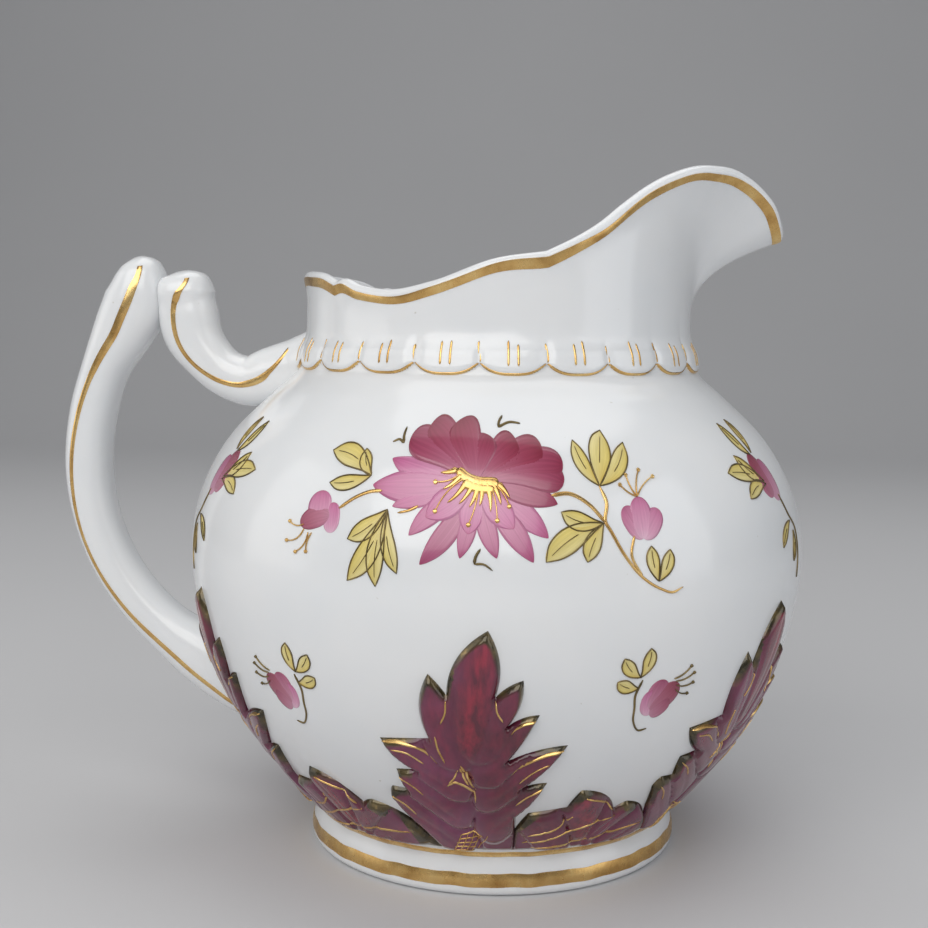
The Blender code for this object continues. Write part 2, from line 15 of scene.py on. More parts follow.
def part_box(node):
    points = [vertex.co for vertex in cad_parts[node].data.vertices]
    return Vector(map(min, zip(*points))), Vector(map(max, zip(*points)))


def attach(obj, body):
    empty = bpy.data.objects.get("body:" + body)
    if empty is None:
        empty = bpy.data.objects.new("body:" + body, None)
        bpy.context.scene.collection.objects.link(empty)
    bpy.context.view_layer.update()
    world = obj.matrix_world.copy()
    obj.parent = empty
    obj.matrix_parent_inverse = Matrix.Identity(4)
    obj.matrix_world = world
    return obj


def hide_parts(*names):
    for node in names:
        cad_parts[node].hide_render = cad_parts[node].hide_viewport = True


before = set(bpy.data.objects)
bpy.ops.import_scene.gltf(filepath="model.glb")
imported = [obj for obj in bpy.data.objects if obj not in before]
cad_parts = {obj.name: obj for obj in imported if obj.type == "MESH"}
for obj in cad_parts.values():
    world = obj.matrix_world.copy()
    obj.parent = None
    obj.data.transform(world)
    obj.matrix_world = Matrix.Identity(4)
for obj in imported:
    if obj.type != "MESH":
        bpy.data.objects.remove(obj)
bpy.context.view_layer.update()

MM = 0.001


def node_box(node):
    """A CAD node's lowest and highest corners in millimetres."""
    low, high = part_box(node)
    return np.array(low) / MM, np.array(high) / MM


# Driving dimensions, read from the frame
body_low, body_high = node_box("body")
AXIS_X = (body_low[0] + body_high[0]) / 2
BELLY_R = (body_high[0] - body_low[0]) / 2
foot_low, foot_high = node_box("foot_ring")
FOOT_R = (foot_high[0] - foot_low[0]) / 2
FOOT_H = body_low[2] - 0.2
SHOULDER_Z = node_box("shoulder_band")[0][2]
NECK_Z = node_box("neck_spout")[0][2]
LIP_TOP_Z = 108.57
NECK_R = 31.2
BAND_R = 32.6
RIM_R = 31.9
LIP_REACH = 46.0
LIP_TIP_R = 8.0
EAR_Z = 92.8
WALL = 2.4
RIM_WALL = 2.0
NECK_INSIDE_R = NECK_R - WALL + 0.6
FLOOR_THICK = 3.2
STANDING_RING = 4.4
# Gold on the foot and the rim: where each one starts and how wide it is
FOOT_BAND_Z = 1.6
FOOT_BAND_WIDE = 2.0
FOOT_LINE_Z = 6.02
FOOT_LINE_WIDE = 0.95
RIM_GOLD_DROP = 1.35
RIM_GOLD_WIDE = 1.35
# Outside of the foot: height, and how far inside FOOT_R
FOOT_PROFILE = (
    (0.0, 1.4), (0.12, 0.8), (0.5, 0.3), (1.0, 0.05), (1.6, 0.0), (2.4, 0.05), (3.6, 0.25), (4.7, 0.55),
)

BELLY = (
    (6.0, 29.4), (12.0, 33.9), (20.0, 40.0), (30.0, 45.5), (40.0, 48.75),
    (49.0, BELLY_R), (60.0, 47.5), (68.0, 42.6), (74.0, 36.4), (SHOULDER_Z, BAND_R),
    (79.2, 32.15), (NECK_Z, 31.7), (NECK_Z + 1.5, 31.42),
)
CUSP_FRONT = (73.5, 95.1)
CUSP_BACK = (138.0, 90.9)
LIP_LOBE = (
    (-4, 100.7), (0, 98.9), (4, 100.7), (7, 103.6), (10, 105.9), (14, 107.7), (22, LIP_TOP_Z), (34, 107.1),
    (42, 105.1), (50, 102.4), (58, 99.4), (66, 97.0), CUSP_FRONT,
)
SIDE_LOBE = (CUSP_FRONT, (87, 94.0), (104, 90.8), (116, 89.6), (128, 90.3), (135, 91.3), CUSP_BACK)
EAR_LOBE = (CUSP_BACK, (146, 92.2), (156, 92.7), (180, EAR_Z))

SCALLOPS = 21
SCALLOP_FIRST = 82.5
SCALLOP_RELIEF = 0.7
SCALLOP_R = 32.0

LOOP = (
    (-34.0, 20.4, 4.4, 5.6), (-41.8, 23.3, 4.9, 6.4), (-45.8, 26.3, 5.6, 6.0), (-50.0, 28.8, 5.2, 5.4),
    (-54.9, 32.0, 4.2, 4.8), (-60.3, 37.1, 3.8, 4.6), (-64.7, 43.2, 3.7, 4.5), (-68.0, 51.0, 3.7, 4.5),
    (-69.5, 60.3, 3.8, 4.5), (-68.6, 69.7, 3.8, 4.6), (-66.2, 77.5, 3.9, 4.8), (-62.7, 84.4, 5.1, 5.0),
    (-60.5, 89.0, 5.4, 5.1), (-60.1, 91.8, 4.5, 4.8), (-60.1, 93.6, 3.7, 4.2), (-60.3, 94.9, 2.7, 3.0),
    (-60.5, 95.7, 1.0, 1.2),
)
SCROLL = (
    (-28.5, 78.6, 5.4, 6.0), (-33.1, 77.3, 5.2, 6.0), (-37.6, 76.1, 4.9, 5.4), (-41.8, 75.3, 4.2, 4.9),
    (-45.6, 76.5, 3.9, 4.6), (-48.8, 79.3, 4.1, 4.6), (-51.2, 82.8, 4.7, 4.7), (-52.1, 86.2, 4.9, 4.8),
    (-52.5, 88.2, 4.8, 4.7), (-52.7, 90.2, 4.9, 4.9), (-52.7, 91.7, 4.3, 4.3), (-52.8, 92.8, 3.1, 3.2),
    (-52.9, 93.4, 1.2, 1.4),
)

TALL_LEAF = (
    (2.6, 44.6, 0.11), (3.8, 35.0, 0.08), (8.3, 37.6, 0.10), (6.0, 30.6, 0.10), (11.3, 32.4, 0.04),
    (6.4, 25.0, 0.06), (17.0, 27.4, 0.06), (9.2, 20.2, 0.05), (14.4, 21.0, 0.06), (9.0, 15.0, 0.0),
    (9.6, 7.6, 0.0), (-9.6, 7.6, 0.0), (-15.6, 13.4, 0.0), (-18.7, 17.6, 0.10), (-17.6, 19.2, 0.0),
    (-14.0, 19.0, 0.06), (-15.4, 22.5, 0.0), (-11.0, 22.8, 0.10), (-17.1, 27.6, 0.0), (-7.8, 28.3, 0.12),
    (-7.0, 38.2, 0.03), (-4.1, 35.2, 0.13),
)
# Low leaf between two tall ones
LOW_LEAF = (
    (-7.3, 19.1, 0.11), (3.2, 14.5, 0.05), (5.9, 15.5, 0.08), (15.9, 11.4, 0.0), (19.9, 7.6, 0.0),
    (-19.9, 7.6, 0.0), (-20.1, 12.0, 0.03), (-17.6, 15.2, 0.0), (-9.2, 16.0, 0.05),
)
# Low leaf under the spout, and the one under the handle, the same on both sides of the handle's plane
SPOUT_LOW_LEAF = (
    (7.3, 19.1, 0.0), (9.2, 16.0, 0.0), (17.6, 15.2, 0.03), (19.9, 12.0, 0.0), (19.7, 7.6, 0.0),
    (-19.7, 7.6, 0.0), (-19.9, 12.0, 0.03), (-17.6, 15.2, 0.0), (-9.2, 16.0, 0.0), (-7.3, 19.1, 0.0),
    (0.0, 16.6, 0.0),
)
HANDLE_LOW_LEAF = (
    (4.6, 15.0, 0.08), (11.9, 11.4, 0.0), (15.2, 7.6, 0.0), (-15.2, 7.6, 0.0), (-11.9, 11.4, 0.08),
    (-4.6, 15.0, 0.0), (0.0, 13.6, 0.0),
)
# Middles of the tall leaves; middles and widths of the low leaves between them, as a share of LOW_LEAF
TALL_LEAF_AT = {
    "front": 90.0, "back": 270.0, "spout_front": 30.0, "spout_back": 330.0,
    "handle_front": 154.0, "handle_back": 206.0,
}
LOW_LEAF_AT = {
    "right_front": (60.0, 1.0), "right_back": (300.0, 1.0),
    "left_front": (122.0, 1.1), "left_back": (238.0, 1.1),
}
HANDLE_LEAF_REACH = 14.8
# Lobes of the leaves: where each one's rib starts and where it ends, degrees from the middle and height
TALL_LOBES = (
    ((-0.6, 28.0), (2.6, 44.6)), ((-4.2, 26.0), (-7.0, 38.2)), ((3.2, 27.0), (8.3, 37.6)),
    ((4.0, 22.5), (11.3, 32.4)), ((4.0, 18.5), (17.0, 27.4)), ((4.0, 13.0), (14.4, 21.0)),
    ((-4.5, 20.5), (-17.1, 27.6)), ((-5.0, 15.0), (-15.4, 22.5)), ((-5.0, 9.5), (-18.7, 18.0)),
)
LOW_LOBES = (
    ((-1.0, 8.0), (-7.3, 19.1)), ((-2.0, 9.0), (5.9, 15.5)),
    ((-8.0, 7.6), (-17.6, 15.2)), ((4.0, 7.6), (15.9, 11.4)),
)
SPOUT_LOBES = (
    ((2.0, 8.0), (7.3, 19.1)), ((-2.0, 8.0), (-7.3, 19.1)),
    ((8.0, 7.6), (17.6, 15.2)), ((-8.0, 7.6), (-17.6, 15.2)),
)
HANDLE_LOBES = (((1.0, 8.0), (4.6, 15.0)), ((-1.0, 8.0), (-4.6, 15.0)))
LEAF_RELIEF = 1.0

# Divisions round the turned pieces and round the rim
TURN = 288
RIM_TURN = 480


# ---------------------------------------------------------------- shapes shared with the CAD

def curve_through(stations, x):
    """Smooth curve through (x, value) stations, with slopes taken from the neighbouring stations."""
    xs = np.array([s[0] for s in stations], float)
    ys = np.array([s[1] for s in stations], float)
    step = np.diff(xs)
    rise = np.diff(ys) / step
    slope = np.empty(len(xs))
    slope[0] = rise[0]
    slope[-1] = rise[-1]
    slope[1:-1] = (rise[:-1] * step[1:] + rise[1:] * step[:-1]) / (step[1:] + step[:-1])
    x = np.clip(np.asarray(x, float), xs[0], xs[-1])
    i = np.clip(np.searchsorted(xs, x, side="right") - 1, 0, len(xs) - 2)
    t = (x - xs[i]) / step[i]
    return (
        ys[i] * (1 + 2 * t) * (1 - t) ** 2
        + ys[i + 1] * t * t * (3 - 2 * t)
        + step[i] * t * (1 - t) * (slope[i] * (1 - t) - slope[i + 1] * t)
    )


def ease(x):
    """Smooth step from 0 to 1."""
    x = np.clip(x, 0.0, 1.0)
    return x * x * (3 - 2 * x)


def around(radius, height, azimuth):
    """Points at a radius, height and azimuth."""
    a = np.radians(azimuth)
    return np.stack(np.broadcast_arrays(radius * np.cos(a), -radius * np.sin(a), height), axis=-1)


def scallop_phase(azimuth):
    """-1 and 1 at a scallop's two cusps, 0 at its middle."""
    turns = (np.asarray(azimuth, float) - SCALLOP_FIRST) * SCALLOPS / 360.0
    return 2 * (turns - np.round(turns))


def scallop_edge(azimuth):
    """Height of the scallops' lower edge."""
    return SHOULDER_Z + 0.15 + 1.7 * np.abs(scallop_phase(azimuth)) ** 3


def scallop_relief(azimuth, height):
    """How far a scallop's pillow stands out, fading into the neck above it."""
    across = (1 - np.abs(scallop_phase(azimuth))) * math.pi * SCALLOP_R / SCALLOPS
    above = height - scallop_edge(azimuth)
    inside = np.minimum(across / 1.7, above / 1.1)
    edge = np.sqrt(np.clip(1 - (1 - np.clip(inside, 0, 1)) ** 2, 0, 1))
    fade = 1 - ease((height - NECK_Z + 1.2) / 3.4)
    flute = 0.12 * (1 - np.abs(scallop_phase(azimuth)) ** 2) * (1 - ease((height - NECK_Z) / 9.0))
    return SCALLOP_RELIEF * edge * fade + flute * ease(above / 3.0)


def jug_radius(azimuth, height):
    """Outside radius of the foot's shoulder, belly and scalloped band."""
    return np.minimum(curve_through(BELLY, height), BELLY_R) + scallop_relief(azimuth, height)


def half_turn(azimuth):
    """Degrees away from the lip, 0 to 180 on either side."""
    return np.abs((np.asarray(azimuth, float) + 180.0) % 360.0 - 180.0)


def rim_height(azimuth):
    """Height of the rim: a lobe over the lip, a low one at each side and the ear over the handle."""
    a = half_turn(azimuth)
    lip = curve_through(LIP_LOBE, a)
    side = curve_through(SIDE_LOBE, a)
    ear = curve_through(EAR_LOBE, a)
    return np.where(a < CUSP_FRONT[0], lip, np.where(a < CUSP_BACK[0], side, ear))


def rim_radius(azimuth):
    """Plan of the rim: a circle with two tangents running to a small rounded tip."""
    a = np.radians(half_turn(azimuth))
    tip_centre = LIP_REACH - LIP_TIP_R
    lean = math.asin((RIM_R - LIP_TIP_R) / tip_centre)
    touch = math.pi / 2 - lean
    tip_touch = math.atan2(LIP_TIP_R * math.sin(touch), tip_centre + LIP_TIP_R * math.cos(touch))
    tip = tip_centre * np.cos(a) + np.sqrt(np.clip(LIP_TIP_R ** 2 - (tip_centre * np.sin(a)) ** 2, 0, None))
    straight = RIM_R / np.cos(touch - np.minimum(a, touch))
    return np.where(a < tip_touch, tip, straight)


def neck_point(azimuth, t):
    """Outside of the neck: t runs from 0 at the shoulder to 1 at the rim."""
    waist_z = NECK_Z + 3.7
    top = rim_height(azimuth)
    height = NECK_Z + t * (top - NECK_Z)
    waist = NECK_R + 0.5 * np.clip((waist_z - height) / (waist_z - NECK_Z), 0, 1) ** 2
    climb = np.clip((height - waist_z) / (top - waist_z), 0, 1)
    flare = np.clip(1 - (top - height) / 5.0, 0, 1) ** 2
    reach = np.maximum(rim_radius(azimuth) - RIM_R, 0.0)
    radius = waist + reach * climb ** 2.8 + (RIM_R - NECK_R) * flare + scallop_relief(azimuth, height)
    return around(radius, height, azimuth)


def neck_frame(azimuth, t):
    """Point, outward normal and upward tangent on the neck's outside."""
    point = neck_point(azimuth, t)
    step = 0.004
    above = np.minimum(t + step, 1.0)
    up = neck_point(azimuth, above) - neck_point(azimuth, above - 2 * step)
    side = neck_point(azimuth + 0.3, t) - neck_point(azimuth - 0.3, t)
    up /= np.linalg.norm(up, axis=-1, keepdims=True)
    normal = np.cross(up, side)
    normal /= np.linalg.norm(normal, axis=-1, keepdims=True)
    outward = point * (1.0, 1.0, 0.0)
    normal *= np.sign(np.sum(normal * outward, axis=-1, keepdims=True))
    return point, normal, up


def rim_share(azimuth, drop):
    """The t that lies a given distance down the neck's outside from the rim."""
    near = 0.02
    run = neck_point(azimuth, np.ones_like(azimuth)) - neck_point(azimuth, np.full_like(azimuth, 1 - near))
    return 1 - drop * near / np.linalg.norm(run, axis=-1)


def on_jug(azimuth, height, lift):
    """Points standing off the glazed outside by lift."""
    azimuth, height, lift = np.broadcast_arrays(
        np.asarray(azimuth, float), np.asarray(height, float), np.asarray(lift, float))
    point = around(jug_radius(azimuth, height), height, azimuth)
    step = 0.05
    up = around(jug_radius(azimuth, height + step), height + step, azimuth) - point
    side = around(jug_radius(azimuth + step, height), height, azimuth + step) - point
    normal = np.cross(up, side)
    normal /= np.linalg.norm(normal, axis=-1, keepdims=True)
    normal *= np.sign(np.sum(normal * point * (1.0, 1.0, 0.0), axis=-1, keepdims=True))
    return point + lift[..., None] * normal


def swept_path(stations, rows):
    """Evenly sample the stations of a bar; returns centres (x, z) and the two half widths."""
    stations = np.array(stations, float)
    run = np.concatenate([[0], np.cumsum(np.hypot(np.diff(stations[:, 0]), np.diff(stations[:, 1])))])
    s = np.linspace(0, run[-1], rows)
    return np.stack([curve_through(list(zip(run, stations[:, k])), s) for k in range(4)], axis=-1)


# ---------------------------------------------------------------- mesh helpers

def wrap_faces(rows, cols, close_rows=True, close_cols=True, start=0):
    """Quads over a grid of rows and columns."""
    i = np.arange(rows if close_rows else rows - 1)
    j = np.arange(cols if close_cols else cols - 1)
    i, j = np.meshgrid(i, j, indexing="ij")
    k = (i + 1) % rows
    n = (j + 1) % cols
    quads = np.stack([i * cols + j, i * cols + n, k * cols + n, k * cols + j], axis=-1)
    return quads.reshape(-1, 4) + start


def tube_faces(rows, cols):
    """Faces of a closed tube: quads between its rings and a cap at each end."""
    faces = wrap_faces(rows, cols, close_rows=False).tolist()
    faces.append(tuple(range(cols)))
    faces.append(tuple((rows - 1) * cols + j for j in reversed(range(cols))))
    return faces


def line_sides(line):
    """Unit vectors square to a flat line, one for each of its points."""
    tangent = np.gradient(line, axis=0)
    tangent /= np.maximum(np.linalg.norm(tangent, axis=1, keepdims=True), 1e-9)
    return np.stack([-tangent[:, 1], tangent[:, 0]], axis=-1)


def ribbon(line, half, across):
    """Flat points across a line: half is its half width along it, across runs from -1 to 1."""
    return line[:, None, :] + line_sides(line)[:, None, :] * (half[:, None] * across[None, :])[..., None]


def end_taper(count, steepness, blunt=0.25):
    """Factors for a brush line's width: full along it, narrowing at both ends."""
    t = np.linspace(0, 1, count)
    return np.minimum(1, np.minimum(t, 1 - t) * steepness + blunt)


class Patchwork:
    """Collects points, faces and point values for one piece made of many closed patches."""

    def __init__(self):
        self.points = []
        self.faces = []
        self.values = []
        self.count = 0

    def add(self, points, faces, values=None):
        points = np.asarray(points, float).reshape(-1, 3)
        self.points.append(points)
        self.faces.extend([tuple(int(i) + self.count for i in f) for f in faces])
        if values is None:
            values = np.zeros((len(points), 3))
        self.values.append(np.asarray(values, float).reshape(-1, 3))
        self.count += len(points)

    def tile(self, place, flat, top, under, values=None):
        """A closed tile: its flat points laid at the lifts top, its two long edges repeated at under."""
        ring = np.concatenate([place(flat, top), place(flat[:, [-1, 0]], under)], axis=1)
        rows, cols = ring.shape[:2]
        self.add(ring, tube_faces(rows, cols), values)

    def piece(self, name, mat, slot, replaces=()):
        points, values = np.vstack(self.points), np.vstack(self.values)
        add_piece(name, points, self.faces, mat, replaces, values)


def add_piece(name, points, faces, mat, replaces=(), values=None, sharp=None):
    """One piece from points in millimetres about the turning axis; values become its attribute paint."""
    mesh = bpy.data.meshes.new(name)
    moved = (np.asarray(points, float).reshape(-1, 3) + (AXIS_X, 0.0, 0.0)) * MM
    faces = [tuple(int(i) for i in f) for f in faces]
    mesh.from_pydata(moved.tolist(), [], faces)
    bm = bmesh.new()
    bm.from_mesh(mesh)
    bmesh.ops.recalc_face_normals(bm, faces=bm.faces)
    bm.to_mesh(mesh)
    bm.free()
    if values is not None:
        paint = mesh.attributes.new("paint", "FLOAT_VECTOR", "POINT")
        paint.data.foreach_set("vector", np.asarray(values, np.float32).ravel())
    obj = bpy.data.objects.new(name, mesh)
    bpy.context.scene.collection.objects.link(obj)
    mesh.materials.append(mat)
    mesh.shade_smooth()
    if sharp is not None:
        mesh.set_sharp_from_angle(angle=math.radians(sharp))
    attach(obj, "root")
    if replaces:
        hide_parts(*replaces)


# ---------------------------------------------------------------- materials

class Look:
    """A Principled material and short ways to add nodes to it."""

    def __init__(self, name):
        self.mat = bpy.data.materials.new(name)
        self.mat.use_nodes = True
        self.nodes = self.mat.node_tree.nodes
        self.links = self.mat.node_tree.links
        self.shader = self.nodes["Principled BSDF"]

    def feed(self, socket, output):
        self.links.new(output, self.shader.inputs[socket])

    def plug(self, pairs):
        """Set each socket to its number or colour, or link it."""
        for value, socket in pairs:
            if isinstance(value, (float, int)):
                socket.default_value = value
            elif isinstance(value, tuple):
                socket.default_value = (*value, 1.0)
            else:
                self.links.new(value, socket)

    def object_place(self):
        return self.nodes.new("ShaderNodeTexCoord").outputs["Object"]

    def noise(self, scale, detail=3.0, vector=None):
        tex = self.nodes.new("ShaderNodeTexNoise")
        tex.inputs["Scale"].default_value = scale
        tex.inputs["Detail"].default_value = detail
        tex.inputs["Roughness"].default_value = 0.55
        self.links.new(self.object_place() if vector is None else vector, tex.inputs["Vector"])
        return tex.outputs["Fac"]

    def stretched_noise(self, vector, scale):
        """Noise drawn out into streaks by a different scale along each axis."""
        squeeze = self.nodes.new("ShaderNodeVectorMath")
        squeeze.operation = "MULTIPLY"
        squeeze.inputs[1].default_value = scale
        self.links.new(vector, squeeze.inputs[0])
        return self.noise(1.0, 3.0, squeeze.outputs[0])

    def ramp(self, fac, *stops):
        node = self.nodes.new("ShaderNodeValToRGB")
        elements = node.color_ramp.elements
        elements[0].position, elements[1].position = stops[0][0], stops[-1][0]
        elements[0].color, elements[1].color = (*stops[0][1], 1.0), (*stops[-1][1], 1.0)
        for place, colour in stops[1:-1]:
            elements.new(place).color = (*colour, 1.0)
        self.links.new(fac, node.inputs["Fac"])
        return node.outputs["Color"]

    def mix(self, fac, a, b, blend="MIX"):
        node = self.nodes.new("ShaderNodeMix")
        node.data_type = "RGBA"
        node.blend_type = blend
        self.plug(((fac, node.inputs[0]), (a, node.inputs[6]), (b, node.inputs[7])))
        return node.outputs[2]

    def math(self, operation, a, b=0.0, clamp=False):
        node = self.nodes.new("ShaderNodeMath")
        node.operation = operation
        node.use_clamp = clamp
        self.plug(((a, node.inputs[0]), (b, node.inputs[1])))
        return node.outputs[0]

    def spread(self, fac, low, high):
        """Map 0..1 onto low..high."""
        node = self.nodes.new("ShaderNodeMapRange")
        node.inputs["To Min"].default_value = low
        node.inputs["To Max"].default_value = high
        self.links.new(fac, node.inputs["Value"])
        return node.outputs["Result"]

    def bump(self, height, strength, distance):
        node = self.nodes.new("ShaderNodeBump")
        node.inputs["Strength"].default_value = strength
        node.inputs["Distance"].default_value = distance
        self.links.new(height, node.inputs["Height"])
        self.feed("Normal", node.outputs["Normal"])

    def paint_values(self):
        """The painted vector of a patch and its three values."""
        attribute = self.nodes.new("ShaderNodeAttribute")
        attribute.attribute_name = "paint"
        split = self.nodes.new("ShaderNodeSeparateXYZ")
        self.links.new(attribute.outputs["Vector"], split.inputs["Vector"])
        return attribute.outputs["Vector"], split.outputs[0], split.outputs[1], split.outputs[2]


def porcelain_material():
    """Hard white glaze: faint pooling of tint, a very slight orange peel, tiny specks."""
    look = Look("porcelain_glaze")
    tint = look.ramp(look.noise(45.0), (0.3, (0.775, 0.795, 0.815)), (0.7, (0.82, 0.83, 0.84)))
    specks = look.ramp(look.noise(900.0, 1.0), (0.80, (1.0, 1.0, 1.0)), (0.84, (0.78, 0.75, 0.70)))
    look.feed("Base Color", look.mix(1.0, tint, specks, "MULTIPLY"))
    look.feed("Roughness", look.spread(look.noise(120.0, 4.0), 0.15, 0.21))
    shader = look.shader
    shader.inputs["IOR"].default_value = 1.52
    shader.inputs["Subsurface Weight"].default_value = 0.12
    shader.inputs["Subsurface Radius"].default_value = (1.0, 0.9, 0.8)
    shader.inputs["Subsurface Scale"].default_value = 0.002
    shader.inputs["Coat Weight"].default_value = 0.25
    shader.inputs["Coat Roughness"].default_value = 0.08
    look.bump(look.noise(160.0, 2.0), 0.05, 0.0004)
    return look.mat


def gold_material():
    """Thin burnished gold: brushed on, a little worn, with darker and redder patches."""
    look = Look("gold_lustre")
    patch = look.noise(260.0, 4.0)
    look.feed("Base Color", look.ramp(
        patch, (0.25, (0.48, 0.27, 0.085)), (0.5, (0.72, 0.46, 0.17)), (0.75, (0.86, 0.62, 0.27))))
    look.shader.inputs["Metallic"].default_value = 1.0
    streak = look.noise(700.0)
    look.feed("Roughness", look.spread(streak, 0.16, 0.36))
    look.bump(streak, 0.25, 0.00006)
    return look.mat


def olive_gold_material():
    """Thinner, browner gold used for drawing leaves and stems."""
    look = Look("drawn_gold")
    patch = look.noise(300.0)
    look.feed("Base Color", look.ramp(
        patch, (0.3, (0.10, 0.075, 0.030)), (0.6, (0.22, 0.16, 0.065)), (0.8, (0.40, 0.29, 0.12))))
    look.shader.inputs["Metallic"].default_value = 0.7
    look.shader.inputs["Roughness"].default_value = 0.32
    return look.mat


def petal_material():
    """Brushed enamel: paint x runs along the petal, y across it, z goes from pink (0) to crimson (1)."""
    look = Look("petal_enamel")
    vector, along, across, tone = look.paint_values()
    pink = look.ramp(
        along, (0.0, (0.72, 0.50, 0.61)), (0.35, (0.65, 0.32, 0.47)), (0.75, (0.54, 0.165, 0.33)),
        (1.0, (0.41, 0.080, 0.19)))
    crimson = look.ramp(
        along, (0.0, (0.46, 0.19, 0.28)), (0.35, (0.40, 0.115, 0.185)), (0.65, (0.30, 0.045, 0.088)),
        (0.9, (0.215, 0.018, 0.043)), (1.0, (0.25, 0.030, 0.060)))
    base = look.mix(tone, pink, crimson)
    streaks = look.stretched_noise(vector, (1.6, 7.0, 3.0))
    light = look.ramp(streaks, (0.35, (0.92, 0.90, 0.91)), (0.7, (1.10, 1.10, 1.10)))
    streaked = look.mix(1.0, base, light, "MULTIPLY")
    edge = look.math("POWER", look.math("ABSOLUTE", across), 6.0, clamp=True)
    look.feed("Base Color", look.mix(look.math("MULTIPLY", edge, 0.10), streaked, (0.70, 0.50, 0.60)))
    look.shader.inputs["Roughness"].default_value = 0.2
    look.shader.inputs["Coat Weight"].default_value = 0.3
    look.shader.inputs["Coat Roughness"].default_value = 0.05
    return look.mat


def yellow_material():
    """Yellow wash of the painted leaves, thin at one side."""
    look = Look("yellow_enamel")
    vector, along, across, _ = look.paint_values()
    strong = look.ramp(
        along, (0.0, (0.64, 0.45, 0.09)), (0.5, (0.74, 0.60, 0.18)), (1.0, (0.62, 0.50, 0.15)))
    side = look.math("ADD", look.math("MULTIPLY", across, 0.35), 0.30, clamp=True)
    washed = look.mix(side, strong, (0.78, 0.71, 0.38))
    streaks = look.stretched_noise(vector, (2.0, 5.0, 1.0))
    light = look.ramp(streaks, (0.3, (0.9, 0.9, 0.88)), (0.7, (1.08, 1.08, 1.1)))
    look.feed("Base Color", look.mix(1.0, washed, light, "MULTIPLY"))
    look.shader.inputs["Roughness"].default_value = 0.22
    return look.mat


def leaf_material():
    """Maroon leaf: paint x is the depth from the edge, y the gilt border (worn gold darkened to olive by
    painted reflection), z the red of the crown.
    """
    look = Look("leaf_enamel_glaze")
    _, depth, border, crown = look.paint_values()
    cloud = look.noise(75.0)
    body = look.ramp(
        cloud, (0.3, (0.085, 0.012, 0.028)), (0.5, (0.140, 0.021, 0.060)), (0.72, (0.205, 0.052, 0.130)))
    streaks = look.stretched_noise(look.object_place(), (1000.0, 1000.0, 55.0))
    streak = look.ramp(streaks, (0.36, (0.100, 0.010, 0.024)), (0.64, (0.33, 0.020, 0.044)))
    red = look.mix(look.math("MULTIPLY", crown, 0.8), body, streak)
    shade = look.ramp(depth, (0.0, (0.55, 0.5, 0.5)), (0.35, (1.0, 1.0, 1.0)))
    shaded = look.mix(1.0, red, shade, "MULTIPLY")
    ragged = look.math("ADD", border, look.math("MULTIPLY", cloud, 0.7))
    olive_share = look.math("MULTIPLY", look.math("SUBTRACT", ragged, 0.68), 2.6, clamp=True)
    # Worn gilt at the border, painted dark olive: partly the gold's own colour, partly a painted dark
    # reflection.
    fleck = look.noise(420.0)
    olive = look.ramp(
        fleck, (0.40, (0.040, 0.034, 0.018)), (0.62, (0.13, 0.095, 0.038)), (0.74, (0.42, 0.29, 0.11)))
    look.feed("Base Color", look.mix(olive_share, shaded, olive))
    look.feed("Metallic", look.math("MULTIPLY", olive_share, 0.5))
    look.feed("Roughness", look.spread(look.noise(300.0), 0.14, 0.28))
    look.shader.inputs["Coat Weight"].default_value = 0.5
    look.shader.inputs["Coat Roughness"].default_value = 0.06
    look.bump(streaks, 0.10, 0.0002)
    return look.mat


porcelain = porcelain_material()
gold = gold_material()
olive_gold = olive_gold_material()
petal_enamel = petal_material()
yellow_enamel = yellow_material()
leaf_enamel = leaf_material()


# ---------------------------------------------------------------- the porcelain itself

def turned(name, section, replaces):
    """Revolve a section of (radius, height); a section that starts and ends on the axis is closed there."""
    section = np.array(section, float)
    azimuth = np.arange(TURN) * 360.0 / TURN
    solid = section[0, 0] < 1e-6
    rings = section[1:-1] if solid else section
    points = around(rings[:, :1], rings[:, 1:], azimuth[None, :]).reshape(-1, 3)
    faces = wrap_faces(len(rings), TURN, close_rows=not solid).tolist()
    if solid:
        points = np.vstack([points, (0, 0, section[0, 1]), (0, 0, section[-1, 1])])
        last = (len(rings) - 1) * TURN
        for j in range(TURN):
            n = (j + 1) % TURN
            faces.append((len(rings) * TURN, n, j))
            faces.append((len(rings) * TURN + 1, last + j, last + n))
    add_piece(name, points, faces, porcelain, replaces, sharp=50)


def make_foot():
    """The foot: recessed underneath inside its standing ring."""
    recess_r = FOOT_R - STANDING_RING
    inner = [(recess_r, FOOT_H + 0.2), (recess_r, 1.6), (recess_r + 0.15, 0.9), (recess_r + 0.6, 0.25),
             (recess_r + 1.2, 0.0)]
    outer = [(FOOT_R - inset, height) for height, inset in FOOT_PROFILE]
    outer += [(FOOT_R - 0.85, FOOT_H - 0.2), (FOOT_R - 0.95, FOOT_H + 0.2)]
    turned("foot_porcelain", inner + outer, ["foot_ring"])


